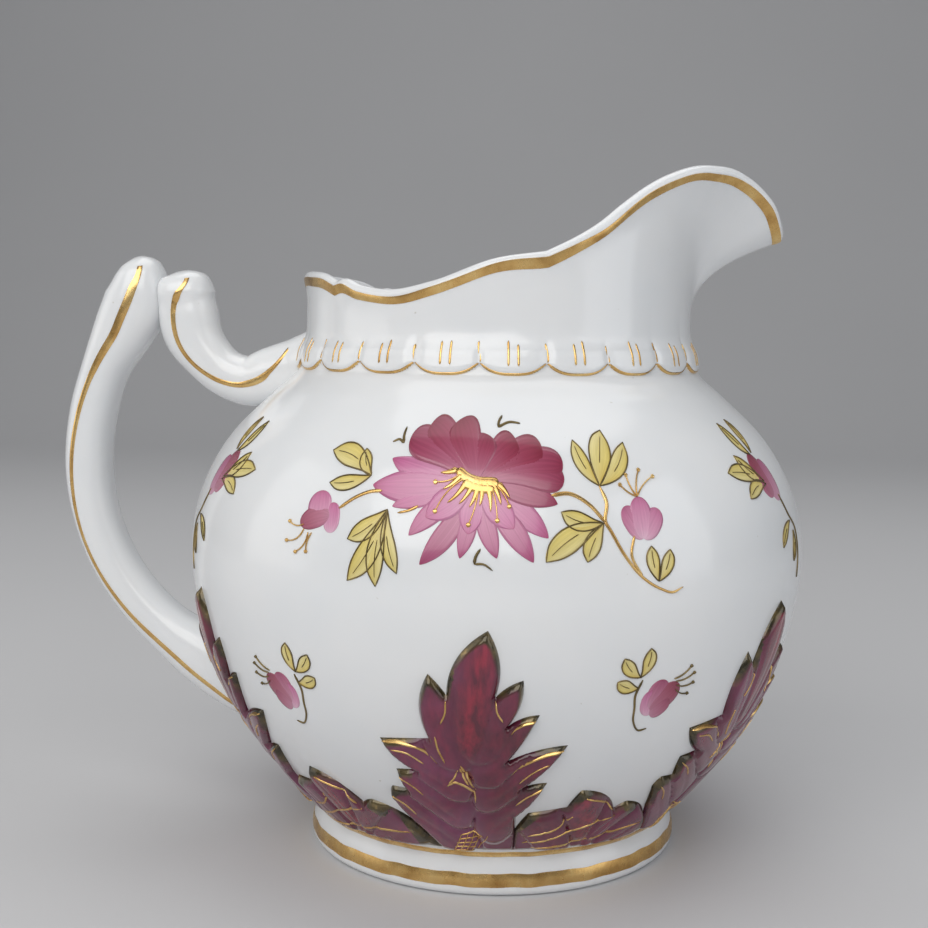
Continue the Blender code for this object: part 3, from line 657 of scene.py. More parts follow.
def make_body():
    """The hollow belly with its own floor, open at the top."""
    outside_z = np.linspace(BELLY[0][0], SHOULDER_Z, 150)
    outside = list(zip(np.minimum(curve_through(BELLY, outside_z), BELLY_R), outside_z))
    inside_z = np.linspace(SHOULDER_Z - 3.0, 12.5, 70)
    radius = curve_through(BELLY, inside_z)
    slope = np.gradient(radius, inside_z)
    length = np.sqrt(1 + slope ** 2)
    inside = list(zip(radius - WALL / length, inside_z + WALL * slope / length))
    inside = [p for p in inside if 10.6 < p[1] < SHOULDER_Z - 1.0]
    floor_z = BELLY[0][0] + FLOOR_THICK
    low_r = inside[-1][0]
    fillet = [(low_r - 0.8, floor_z + 0.55), (low_r - 2.0, floor_z + 0.15), (low_r - 3.5, floor_z),
              (10.0, floor_z)]
    section = [(0.0, BELLY[0][0]), (12.0, BELLY[0][0])] + outside
    section += [(NECK_INSIDE_R, SHOULDER_Z)] + inside + fillet + [(0.0, floor_z)]
    turned("belly_porcelain", section, ["body"])


def make_shoulder():
    """The ring of scallops between belly and neck."""
    cols = SCALLOPS * 24
    azimuth = SCALLOP_FIRST + (np.arange(cols) + 0.5) * 360.0 / cols
    inner_r = NECK_INSIDE_R
    rows = [around(inner_r, SHOULDER_Z, azimuth)]
    for height in np.linspace(SHOULDER_Z, NECK_Z, 30):
        rows.append(around(jug_radius(azimuth, height), height, azimuth))
    rows.append(around(inner_r, NECK_Z, azimuth))
    add_piece("shoulder_porcelain", np.array(rows), wrap_faces(len(rows), cols), porcelain,
              ["shoulder_band"], sharp=60)


def rim_azimuths(count):
    """Round the rim once, closer together at the lip."""
    turn = np.arange(count) / count
    return 360.0 * turn - 22.0 * np.sin(2 * math.pi * turn)


def make_neck():
    """The neck, its rounded rim and the pouring lip, open right through."""
    azimuth = rim_azimuths(RIM_TURN)
    top = rim_share(azimuth, RIM_WALL / 2)
    rows = []
    for share in np.linspace(0.0, 1.0, 64):
        rows.append(neck_point(azimuth, share * top))
    point, normal, up = neck_frame(azimuth, top)
    for turn in np.linspace(0, 1, 14)[1:-1]:
        out = math.cos(math.pi * turn) - 1
        rise = math.sin(math.pi * turn)
        rows.append(point + RIM_WALL / 2 * (out * normal + rise * up))
    for share in np.linspace(1.0, 0.12, 40):
        wall = WALL + (RIM_WALL - WALL) * share
        point, normal, _ = neck_frame(azimuth, share * top)
        rows.append(point - wall * normal)
    rows.append(around(NECK_INSIDE_R, NECK_Z, azimuth))
    add_piece("neck_porcelain", np.array(rows), wrap_faces(len(rows), len(azimuth)), porcelain,
              ["neck_spout"], sharp=60)


SECTION_POWER = 2.5
BAR_COLS = 64
ROOT_DEPTH = 1.2
SEAM_X = -56.1
SEAM_LOW_Z = 79.0
SEAM_MEET = 0.1
LOOP_SLIMMER = 0.08


def section_offsets(turn):
    """Rounded-square section: offset in the handle's plane and across it, for half widths of 1."""
    flat = 2 / SECTION_POWER
    c = np.sign(np.cos(turn)) * np.abs(np.cos(turn)) ** flat
    s = np.sign(np.sin(turn)) * np.abs(np.sin(turn)) ** flat
    return c, s


def bar_points(path, turn):
    """Points round each section of a bar; turn may differ from row to row."""
    centre = path[:, :2]
    normal = line_sides(centre)
    c, s = section_offsets(turn)
    c, s = np.broadcast_to(c, (len(path), c.shape[-1])), np.broadcast_to(s, (len(path), s.shape[-1]))
    offset = path[:, 2:3] * c
    return np.stack([
        centre[:, :1] + normal[:, :1] * offset, path[:, 3:4] * s, centre[:, 1:2] + normal[:, 1:2] * offset,
    ], axis=-1)


def keep_outside(points, lowest):
    """Move the points of a handle's root that lie deeper than lowest out into the jug's wall."""
    radius = np.hypot(points[..., 0], points[..., 1])
    height = np.clip(points[..., 2], BELLY[0][0], NECK_Z + 1.0)
    depth = radius - curve_through(BELLY, height)
    share = np.where(depth < lowest, (radius - depth + lowest) / np.maximum(radius, 1e-6), 1.0)
    return points * np.stack([share, share, np.ones_like(share)], axis=-1)


def make_bar(name, path, replaces, mould=None):
    """A closed bar along a path of centres and half widths, its root kept in the jug's wall."""
    turn = np.linspace(0, 2 * math.pi, BAR_COLS, endpoint=False)
    points = bar_points(path, turn)
    if mould is not None:
        points = mould(points)
    points = keep_outside(points, -ROOT_DEPTH)
    add_piece(name, points, tube_faces(len(points), BAR_COLS), porcelain, replaces, sharp=70)


loop_path = swept_path(LOOP, 160)
loop_path[:, 2] -= LOOP_SLIMMER
scroll_path = swept_path(SCROLL, 110)


def held_at_seam(keep, limit):
    """A mould that holds a bar's top on its own side of the seam."""
    def mould(points):
        high = points[..., 2] > SEAM_LOW_Z
        points[..., 0] = np.where(high, keep(points[..., 0], limit), points[..., 0])
        return points
    return mould


def make_handle():
    """The loop and the scroll run into one another along an upright seam near their tops."""
    make_bar("handle_loop_porcelain", loop_path, ["handle"], held_at_seam(np.minimum, SEAM_X + SEAM_MEET))
    make_bar("handle_scroll_porcelain", scroll_path, ["handle_scroll"],
             held_at_seam(np.maximum, SEAM_X - SEAM_MEET))


def make_lute(name, path, replaces):
    """The slip joint: a soft collar that swells where the handle meets the jug."""
    swollen = path.copy()
    run = np.linspace(0, 1, len(path))
    swell = 0.45 * (1 - ease(run)) - 0.15 * ease(run)
    swollen[:, 2:] += swell[:, None]
    make_bar(name, swollen, replaces)


# ---------------------------------------------------------------- relief leaves

LEAF_MM = 0.80
LOBE_HALF = 3.6
LEAF_CELL = 0.42
LEAF_SUNK = -0.25
LOW_LEAF_SPREAD = 1.035
GROOVE_HALF = 0.55
RIB_HALF = 0.28
EDGE_ROUND = 0.75


def leaf_edge(corners, spacing):
    """The outline in millimetres on the flat, with its bowed edges, points about spacing apart."""
    points = []
    for i, (a, h, bow) in enumerate(corners):
        start = np.array([a * LEAF_MM, h])
        end = np.array([corners[(i + 1) % len(corners)][0] * LEAF_MM, corners[(i + 1) % len(corners)][1]])
        run = end - start
        count = max(2, int(np.linalg.norm(run) / spacing))
        t = np.arange(count)[:, None] / count
        points.append(start + run * t + 4 * bow * t * (1 - t) * np.array([-run[1], run[0]]))
    return np.vstack(points)


class LeafShape:
    """Relief of a leaf whose lobes overlap like leaflets, each with a rib and a rounded back."""

    def __init__(self, corners, lobes):
        self.edge = leaf_edge(corners, 0.45)
        self.lobes = [(np.array(a) * (LEAF_MM, 1.0), np.array(b) * (LEAF_MM, 1.0)) for a, b in lobes]

    def fields(self, plan):
        """Depth from the edge, distance to the nearest rib, how much further the next is, share along it."""
        depth = np.maximum(edge_distance(plan, self.edge), 0.0)
        away = np.array([segment_distance(plan, a, b) for a, b in self.lobes])
        order = np.sort(away, axis=0)
        lobe = np.argmin(away, axis=0)
        along = np.zeros(len(plan))
        for k, (a, b) in enumerate(self.lobes):
            share = ((plan - a) @ (b - a)) / float((b - a) @ (b - a))
            along = np.where(lobe == k, share, along)
        second = order[1] if len(self.lobes) > 1 else order[0] + 9.0
        return depth, order[0], second - order[0], np.clip(along, 0, 1), lobe

    def height(self, plan):
        depth, away, apart, along, _ = self.fields(plan)
        back = np.sqrt(np.clip(1 - (away / LOBE_HALF) ** 2, 0, 1))
        groove = np.exp(-(apart / GROOVE_HALF) ** 2)
        rib = np.exp(-(away / RIB_HALF) ** 2)
        raised = LEAF_RELIEF * (0.42 + 0.58 * back) - 0.30 * groove - 0.10 * rib
        return 0.05 + np.clip(raised, 0.12, LEAF_RELIEF) * ease(depth / EDGE_ROUND) ** 0.6


def leaf_mesh(name, corners, lobes, middle, hand, replaces):
    """A lobed leaf laid on the belly, filled by a fine constrained triangulation."""
    shape = LeafShape(corners, lobes)
    edge = shape.edge
    low = edge.min(axis=0)
    high = edge.max(axis=0)
    gx, gy = np.meshgrid(np.arange(low[0], high[0], LEAF_CELL), np.arange(low[1], high[1], LEAF_CELL))
    gx = gx + LEAF_CELL / 2 * (np.arange(gx.shape[0]) % 2)[:, None]
    grid = np.stack([gx.ravel(), gy.ravel()], axis=-1)
    grid = grid[edge_distance(grid, edge) > 0.22]
    coords = [Vector(p) for p in np.vstack([edge, grid]).tolist()]
    verts, _, faces, _, _, _ = delaunay_2d_cdt(coords, [], [list(range(len(edge)))], 1, 1e-5)
    plan = np.array([(v.x, v.y) for v in verts])
    if hand > 0:
        faces = [tuple(reversed(f)) for f in faces]
    azimuth = middle + hand * plan[:, 0] / LEAF_MM
    top = on_jug(azimuth, plan[:, 1], shape.height(plan))
    under = on_jug(azimuth, plan[:, 1], LEAF_SUNK)
    count = len(plan)
    solid = [tuple(f) for f in faces] + [tuple(count + i for i in reversed(f)) for f in faces]
    sides = {(a, b) for f in faces for a, b in zip(f, list(f[1:]) + [f[0]])}
    solid += [(b, a, a + count, b + count) for a, b in sorted(sides) if (b, a) not in sides]
    depth, away, _, along, lobe = shape.fields(plan)
    crown = np.where(lobe == 0, 1.0, 0.35) * np.exp(-(away / 2.2) ** 2)
    border = 0.9 if lobes is TALL_LOBES else 0.6
    rim = border * ease((along - 0.45) / 0.4) * np.exp(-(depth / 0.8) ** 2) + ease((along - 0.88) / 0.12)
    values = np.stack([np.clip(depth / 3.0, 0, 1), np.clip(rim, 0, 1), crown], axis=-1)
    add_piece(name, np.vstack([top, under]), solid, leaf_enamel, replaces,
              np.vstack([values, values]), sharp=60)
    gild_leaf(name, shape, middle, hand)


def leaf_line(patch, shape, middle, hand, points, width, count=18):
    """A brushed gold line over a leaf's relief; points are degrees from its middle and heights."""
    def place(flat, lift):
        return on_jug(middle + hand * flat[..., 0] / LEAF_MM, flat[..., 1], lift)

    run = smooth_line([(a * LEAF_MM, h) for a, h in points], count)
    across = np.linspace(-1, 1, 5)
    flat = ribbon(run, width / 2 * end_taper(count, 6), across)
    relief = shape.height(flat.reshape(-1, 2)).reshape(count, 5)
    patch.tile(place, flat, relief + 0.04 + 0.05 * (1 - across ** 2), relief[:, [-1, 0]] - 0.12)


# Gold lines on the leaves: points as degrees from the leaf's middle and heights, and the line's width
TALL_GILDING = (
    # the mouth at the leaf's heart and the line under it
    (((-5.2, 21.2), (-3.6, 21.9), (-1.8, 21.3), (-0.1, 19.9), (0.2, 18.2)), 0.35),
    (((-2.2, 24.8), (-1.2, 22.8), (0.3, 20.2)), 0.4),
    (((-2.4, 24.4), (-2.0, 23.0), (-1.0, 21.4)), 0.3),
    (((-2.8, 24.0), (-3.4, 22.9), (-4.8, 21.6)), 0.25),
    # side lobes: a line along the edge and a stroke on the rib
    (((-16.6, 27.4), (-13.0, 27.6), (-9.4, 27.0), (-6.6, 24.8)), 0.28),
    (((-14.8, 26.6), (-12.0, 26.3), (-9.0, 24.8)), 0.25),
    (((16.2, 27.0), (12.6, 26.4), (9.0, 24.8), (7.0, 23.2)), 0.28),
    (((13.8, 25.0), (11.0, 23.8), (8.6, 22.0)), 0.25),
    (((13.4, 20.6), (10.8, 19.6), (8.4, 18.0)), 0.25),
    (((10.6, 31.9), (8.4, 31.4), (6.6, 30.0)), 0.25),
    (((-14.8, 21.8), (-12.6, 20.8), (-10.4, 19.2)), 0.25),
    (((-17.6, 18.2), (-15.4, 17.0), (-13.4, 15.2)), 0.28),
    # notches beside the upper lobes
    (((-4.1, 34.8), (-4.3, 33.0), (-5.2, 31.4)), 0.25),
    (((3.9, 34.8), (4.2, 33.4), (5.2, 32.0)), 0.25),
    (((-6.3, 29.4), (-6.0, 27.4), (-5.0, 25.2)), 0.28),
)
LOW_GILDING = (
    (((-18.6, 9.6), (-12.0, 10.6), (-4.0, 12.6), (3.4, 14.0)), 0.3),
    (((-17.6, 11.4), (-10.0, 13.2), (-8.0, 15.0)), 0.3),
    (((-16.0, 8.6), (-4.0, 9.4), (8.0, 10.6), (14.8, 11.0)), 0.35),
    (((-6.6, 18.4), (-2.0, 17.2), (2.6, 14.8)), 0.25),
)


def gild_leaf(name, shape, middle, hand):
    """The gold lines that stay within a leaf's outline, and a small lattice at a tall leaf's foot."""
    patch = Patchwork()
    tall = len(shape.lobes) == len(TALL_LOBES)
    for points, width in TALL_GILDING if tall else LOW_GILDING:
        if edge_distance(np.array([(a * LEAF_MM, h) for a, h in points]), shape.edge).min() > 0.1:
            leaf_line(patch, shape, middle, hand, points, width)
    for k in range(5 if tall else 0):
        a, h = -6.6 + 1.6 * k, 7.9 + 0.1 * k
        leaf_line(patch, shape, middle, hand, ((a, h), (a + 1.6, 9.8), (a + 2.8, 11.6)), 0.2, 10)
        a, h = -6.4 + 0.6 * k, 8.4 + 0.8 * k
        leaf_line(patch, shape, middle, hand, ((a, h), (a + 3.0, h + 0.1), (a + 5.4, h - 0.3)), 0.2, 10)
    if patch.points:
        patch.piece(name.replace("relief_", "gilding_"), gold, "gold")


def segment_distance(points, a, b):
    """Distance from points to the straight piece between a and b."""
    d = b - a
    t = np.clip(((points - a) @ d) / max(float(d @ d), 1e-9), 0, 1)
    return np.linalg.norm(points - (a + t[:, None] * d), axis=1)


def edge_distance(points, edge):
    """Distance to a closed outline, positive inside it."""
    nearest = np.full(len(points), 1e9)
    inside = np.zeros(len(points), bool)
    for a, b in zip(edge, np.roll(edge, -1, axis=0)):
        nearest = np.minimum(nearest, segment_distance(points, a, b))
        crosses = (a[1] > points[:, 1]) != (b[1] > points[:, 1])
        if abs(b[1] - a[1]) > 1e-9:
            x = a[0] + (points[:, 1] - a[1]) * (b[0] - a[0]) / (b[1] - a[1])
            inside ^= crosses & (points[:, 0] < x)
    return np.where(inside, nearest, -nearest)


def make_leaves():
    """Six tall leaves and six low ones between them."""
    for place, middle in TALL_LEAF_AT.items():
        hand = 1.0 if middle >= 180.0 else -1.0
        reach = HANDLE_LEAF_REACH if "handle" in place else 90.0
        corners = [(max(a, -reach), h, bow) for a, h, bow in TALL_LEAF]
        leaf_mesh("relief_leaf_" + place, corners, TALL_LOBES, middle, hand, ["leaf_" + place])
    for place, (middle, width) in LOW_LEAF_AT.items():
        hand = 1.0 if middle >= 180.0 else -1.0
        corners = [(LOW_LEAF_SPREAD * width * a, h, bow) for a, h, bow in LOW_LEAF]
        leaf_mesh("relief_low_leaf_" + place, corners, LOW_LOBES, middle, hand, ["low_leaf_" + place])
    leaf_mesh("relief_low_leaf_spout", SPOUT_LOW_LEAF, SPOUT_LOBES, 0.0, 1.0, ["low_leaf_spout"])
    leaf_mesh("relief_low_leaf_handle", HANDLE_LOW_LEAF, HANDLE_LOBES, 180.0, 1.0, ["low_leaf_handle"])


# ---------------------------------------------------------------- painting on the belly

ENAMEL_LIFT = 0.03
GOLD_LIFT = 0.10
UNDER = -0.06
LAYER = 0.004


class Canvas:
    """A flat drawing in millimetres, u to the right and v up as seen from outside, laid on the belly.

    A mirrored canvas swaps left and right, and a flipped one lies on the back instead of the front.
    """

    def __init__(self, azimuth, height, mm_per_degree=0.84, flip=False, mirror=False):
        self.azimuth = azimuth
        self.height = height
        self.mm_per_degree = mm_per_degree if mirror else -mm_per_degree
        self.flip = flip

    def lay(self, uv, lift):
        uv = np.asarray(uv, float)
        azimuth = self.azimuth + uv[..., 0] / self.mm_per_degree
        if self.flip:
            azimuth = 360.0 - azimuth
        return on_jug(azimuth, self.height + uv[..., 1], lift)


def bend_line(start, end, bend, count):
    """Points on an arc from start to end; bend is the sideways bulge as a share of the length."""
    start, end = np.array(start, float), np.array(end, float)
    t = np.linspace(0, 1, count)[:, None]
    chord = end - start
    side = np.array([-chord[1], chord[0]])
    return start + chord * t + side * bend * 4 * t * (1 - t)


def smooth_line(points, count):
    """A smooth line through a few points."""
    points = np.array(points, float)
    run = np.concatenate([[0], np.cumsum(np.linalg.norm(np.diff(points, axis=0), axis=1))])
    s = np.linspace(0, run[-1], count)
    return np.stack([curve_through(list(zip(run, points[:, k])), s) for k in range(2)], axis=-1)


def strip_tile(patch, canvas, line, half, lift, crown, tone=0.0, cols=9):
    """A closed tile along a line with half widths half; crown raises its middle."""
    line = np.asarray(line, float)
    count = len(line)
    across = np.linspace(-1, 1, cols)
    flat = ribbon(line, np.maximum(half, 0.012), across)
    dome = lift + crown * (1 - across ** 2)[None, :] * np.ones((count, 1))
    values = np.zeros((count, cols + 2, 3))
    values[..., 0] = np.linspace(0, 1, count)[:, None]
    values[..., 1] = np.concatenate([across, [1.0, -1.0]])
    values[..., 2] = tone
    patch.tile(canvas.lay, flat, dome, np.full((count, 2), UNDER), values)


def fan_profile(t):
    """Half width of a petal that widens from its base to a full rounded end."""
    return np.clip(t, 0, 1) ** 0.75 * np.sqrt(np.clip(1 - t ** 7, 0, 1)) / 0.86


def brush_profile(t):
    """Half width of a brush stroke: thin at its base, widest past the middle, blunt at its tip."""
    return np.sin(math.pi * np.clip(t, 0, 1) ** 1.35) ** 0.75


def oval_profile(t):
    """Half width of a dabbed petal, round at both ends."""
    return np.clip(1 - np.abs(2 * t - 1) ** 2.4, 0, 1) ** 0.5


def petal(patch, canvas, base, tip, width, bend=0.0, tone=0.0, profile=fan_profile, lift=ENAMEL_LIFT):
    """One brushed petal, with its points closer together towards both ends."""
    t = (1 - np.cos(math.pi * np.linspace(0, 1, 28))) / 2
    line = bend_line(base, tip, bend, 400)[np.round(t * 399).astype(int)]
    strip_tile(patch, canvas, line, width / 2 * profile(t), lift, 0.012, tone)


def stroke(patch, canvas, points, width, end_width=None, lift=GOLD_LIFT, crown=0.07):
    """A raised gold line through a few points, tapering to end_width."""
    points = np.array(points, float)
    length = float(np.sum(np.linalg.norm(np.diff(points, axis=0), axis=1)))
    count = max(8, int(length / 0.3))
    line = smooth_line(points, count)
    end_width = width if end_width is None else end_width
    half = np.linspace(width, end_width, count) / 2 * end_taper(count, 12)
    strip_tile(patch, canvas, line, half, lift, crown, cols=5)


def dot(patch, canvas, centre, radius, lift=GOLD_LIFT + 0.02, crown=0.09):
    """A round drop of gold."""
    centre = np.array(centre, float)
    t = np.linspace(0, 1, 11)
    line = centre + np.stack([(2 * t - 1) * radius, np.zeros_like(t)], axis=-1)
    half = radius * np.sqrt(np.clip(1 - (2 * t - 1) ** 2, 0, 1))
    strip_tile(patch, canvas, line, half, lift, crown, cols=7)


def gilt_leaf(paint, canvas, base, tip, width, bend=0.0, rib=0.6, outline=0.19):
    """A yellow leaf with a drawn outline and a short midrib."""
    line = bend_line(base, tip, bend, 26)
    half = width / 2 * brush_profile(np.linspace(0, 1, len(line)))
    strip_tile(paint["yellow"], canvas, line, half, ENAMEL_LIFT, 0.01)
    for side in (-1, 1):
        edge = line + line_sides(line) * (side * half)[:, None]
        stroke(paint["line"], canvas, edge[::5], outline, outline * 0.9)
    ribbed = line[int(len(line) * (1 - rib)):-2:4]
    stroke(paint["line"], canvas, ribbed, outline * 0.7, outline * 0.4)


def stamen(paint, canvas, start, end, bend=0.12, radius=0.32, width=0.22, colour="gold"):
    """A bent gold line that ends in a dot."""
    line = bend_line(start, end, bend, 5)
    stroke(paint[colour], canvas, line, width, width * 0.8, lift=GOLD_LIFT + 0.05)
    dot(paint[colour], canvas, end, radius, lift=GOLD_LIFT + 0.06)


def bloom(paint, canvas):
    """The large flower: a crimson fan above, paler pointed petals below, a gold crown of stamens."""
    petals = paint["petal"]
    level = ENAMEL_LIFT
    pale = (
        ((-12.8, 2.5), 3.2, 0.04, 0.1), ((-11.3, -3.6), 3.0, -0.03, 0.1), ((-14.8, -1.0), 4.4, 0.02, 0.15),
        ((-8.5, -7.2), 2.9, -0.05, 0.2), ((9.9, -7.2), 3.2, 0.05, 0.15), ((-6.8, -10.9), 3.0, 0.04, 0.5),
        ((7.9, -10.3), 3.1, 0.03, 0.3), ((-1.6, -9.9), 2.4, 0.02, 0.3), ((3.2, -9.8), 2.6, -0.02, 0.3),
        ((11.4, -2.9), 3.4, 0.04, 0.8), ((-0.6, -6.8), 3.4, 0.0, 0.0), ((5.4, -6.0), 3.6, 0.0, 0.0),
        ((-6.4, -4.8), 4.0, 0.0, 0.0),
    )
    for tip, width, bend, tone in pale:
        petal(petals, canvas, (0.3, -0.2), tip, width, bend, tone, brush_profile, level)
        level += LAYER
    dark = (
        ((12.6, -0.2), 4.6, 0.10, 0.85), ((12.8, 2.0), 5.0, 0.08, 0.9), ((10.0, 3.9), 5.4, 0.08, 1.0),
        ((6.2, 4.9), 5.6, 0.06, 1.0), ((-10.8, 5.2), 5.2, -0.08, 0.85), ((-8.0, 7.0), 5.6, -0.06, 0.95),
        ((1.6, 5.8), 4.4, 0.04, 0.95), ((-3.2, 7.7), 6.0, -0.03, 1.0),
    )
    for tip, width, bend, tone in dark:
        petal(petals, canvas, (0.2, -0.3), tip, width, bend, tone, fan_profile, level)
        level += LAYER
    crown = ((-2.6, 1.4), (-1.5, 0.5), (0.4, -0.2), (2.3, -0.3), (3.4, -0.4))
    stroke(paint["gold"], canvas, crown, 1.3, 1.5, lift=level + 0.05)
    stroke(paint["gold"], canvas, ((-1.6, -0.2), (0.6, -0.9), (2.8, -1.0)), 1.5, 1.2, lift=level + 0.06)
    for start, end, width in (
        ((-2.6, 1.4), (-5.0, 0.9), 0.9), ((-1.9, 0.8), (-4.4, -1.2), 0.9), ((-0.9, 0.3), (-3.6, -2.9), 1.0),
        ((0.6, 0.0), (-0.6, -3.4), 1.1), ((1.6, -0.1), (2.3, -3.9), 1.1), ((2.4, -0.2), (3.7, -3.0), 1.0),
        ((3.2, -0.3), (4.9, -2.2), 0.9), ((0.0, 0.1), (-2.0, -3.0), 1.0), ((1.0, -0.4), (0.8, -3.2), 1.0),
    ):
        line = bend_line(start, end, 0.06, 4)
        stroke(paint["gold"], canvas, line, width, 0.2, lift=level + 0.05)
    for start, end, bend in (
        ((-2.0, 0.9), (-5.6, -0.3), 0.10), ((-1.2, 0.4), (-5.2, -4.0), -0.10),
        ((0.6, -0.2), (-0.6, -5.6), 0.05), ((2.2, -0.4), (3.2, -5.0), 0.05), ((3.0, -0.6), (4.8, -3.2), 0.08),
    ):
        stamen(paint, canvas, start, end, bend)


def bud(paint, canvas, centre):
    """A small flower bud: three short petals and four hooked stamens."""
    def at(u, v):
        return (centre[0] + u, centre[1] + v)

    for layer, (base, tip, width, bend, tone) in enumerate((
        (at(2.6, -2.6), at(2.2, 1.4), 2.6, 0.0, 0.05), (at(0.4, -1.4), at(-0.4, 2.8), 3.9, 0.0, 0.15),
        (at(2.0, -0.4), at(-2.6, -1.9), 3.0, -0.08, 0.85),
    )):
        petal(paint["petal"], canvas, base, tip, width, bend, tone, oval_profile, ENAMEL_LIFT + LAYER * layer)
    for start, end, bend in (
        (at(-2.0, -1.8), at(-4.6, -1.6), 0.15), (at(-1.8, -2.4), at(-4.6, -4.2), 0.18),
        (at(-1.0, -2.8), at(-2.8, -5.6), 0.15), (at(-0.4, -2.8), at(-1.0, -5.4), -0.1),
    ):
        stamen(paint, canvas, start, end, bend, radius=0.26, width=0.2)


def tulip(paint, canvas):
    """The upright bud at the right of the spray."""
    for layer, (tip, width, tone) in enumerate((
        ((20.9, -3.4), 3.0, 0.3), ((26.2, -3.9), 3.0, 0.2), ((23.4, -2.2), 3.4, 0.15),
    )):
        petal(paint["petal"], canvas, (23.2, -7.6), tip, width, 0.0, tone, oval_profile,
              ENAMEL_LIFT + LAYER * layer)
    for end in ((22.2, 0.6), (24.5, 1.2), (26.6, 0.3), (20.9, -0.6)):
        stamen(paint, canvas, (23.2, -2.2), end, 0.08, radius=0.26, width=0.2)


def gilt_leaves(paint, canvas, base, leaves):
    """Leaves that spring from one point."""
    for tip, width, bend in leaves:
        gilt_leaf(paint, canvas, base, tip, width, bend)


def bouquet(paint, canvas):
    """Flower, buds, leaves and stems of the main spray."""
    for points, width, end_width in (
        (((-13.2, -1.7), (-14.6, -1.8), (-17.0, -2.7), (-19.3, -4.3)), 0.45, 0.4),
        (((-7.6, -3.4), (-8.8, -4.0), (-10.4, -4.4)), 0.4, 0.25),
        (((10.6, -1.8), (13.2, -1.6), (15.7, -2.9), (17.9, -5.4)), 0.5, 0.45),
        (((17.7, -0.6), (18.4, -2.8), (17.9, -5.4), (18.4, -6.3), (20.1, -9.5), (22.7, -12.7),
          (25.4, -14.4), (27.3, -15.0), (28.9, -14.4)), 0.5, 0.3),
        (((21.8, -7.2), (21.2, -9.6), (22.7, -12.7)), 0.35, 0.35),
    ):
        stroke(paint["gold"], canvas, points, width, end_width)
    bloom(paint, canvas)
    gilt_leaves(paint, canvas, (-15.4, 0.2), (
        ((-23.6, 3.1), 2.9, -0.10), ((-17.6, 3.6), 1.9, 0.10), ((-22.0, -1.1), 2.0, 0.06)))
    gilt_leaves(paint, canvas, (-11.9, -4.0), (
        ((-17.2, -8.2), 2.6, 0.06), ((-16.8, -13.7), 3.0, 0.06), ((-12.7, -14.2), 2.4, -0.06),
        ((-9.8, -12.3), 2.0, -0.06)))
    gilt_leaves(paint, canvas, (17.8, -0.7), (
        ((15.0, 5.2), 2.2, 0.08), ((20.3, 6.4), 3.4, 0.04), ((23.5, 4.8), 2.4, -0.08)))
    gilt_leaves(paint, canvas, (17.6, -5.4), (
        ((11.8, -3.9), 2.4, 0.10), ((9.5, -10.3), 3.2, -0.08), ((15.0, -10.4), 2.3, -0.06)))
    gilt_leaves(paint, canvas, (25.1, -13.4), (((24.2, -8.6), 1.9, 0.05), ((27.1, -9.2), 1.9, -0.08)))
    bud(paint, canvas, (-22.6, -5.0))
    tulip(paint, canvas)
    # three small ticks in the shape of a V
    for a, b, c in (((-12.1, 6.6), (-11.7, 4.5), (-13.6, 4.6)), ((3.9, 8.3), (3.2, 6.8), (6.9, 7.3)),
                    ((1.1, -8.6), (0.3, -10.6), (2.7, -11.4))):
        stroke(paint["line"], canvas, (a, ((a[0] + b[0]) / 2 - 0.2, (a[1] + b[1]) / 2), b), 0.3, 0.45)
        stroke(paint["line"], canvas, (b, ((b[0] + c[0]) / 2, (b[1] + c[1]) / 2 + 0.4), c), 0.35, 0.2)


def sprig(paint, canvas):
    """A small sprig: one bud with stamens, a curling stem and three outlined leaves."""
    for layer, (base, tip, width, tone) in enumerate((
        ((1.4, -3.1), (1.4, 0.9), 3.0, 0.1), ((1.2, -1.9), (-0.2, 2.3), 3.4, 0.6),
        ((1.0, -2.2), (-2.9, 1.5), 3.6, 0.95), ((0.8, -3.0), (-2.0, -0.9), 2.6, 0.75),
    )):
        petal(paint["petal"], canvas, base, tip, width, 0.04, tone, oval_profile, ENAMEL_LIFT + LAYER * layer)
    stem = ((3.2, 2.6), (3.9, 0.2), (3.6, -1.6), (3.2, -3.8), (1.8, -5.4), (0.6, -5.2))
    stroke(paint["line"], canvas, stem, 0.34, 0.25)
    gilt_leaves(paint, canvas, (3.6, 3.0), (((2.6, 7.2), 1.9, 0.1), ((6.4, 6.0), 1.9, -0.1)))
    gilt_leaf(paint, canvas, (3.6, 1.4), (7.0, 2.6), 1.9, -0.1)
    for start, end, bend in (
        ((-2.0, 2.2), (-4.6, 3.8), 0.1), ((-2.4, 1.8), (-5.4, 2.7), 0.1),
        ((-2.6, 1.2), (-5.6, 1.2), 0.12), ((-2.6, 0.6), (-5.0, -0.4), 0.12),
    ):
        stamen(paint, canvas, start, end, bend, 0.24, 0.18, "line")


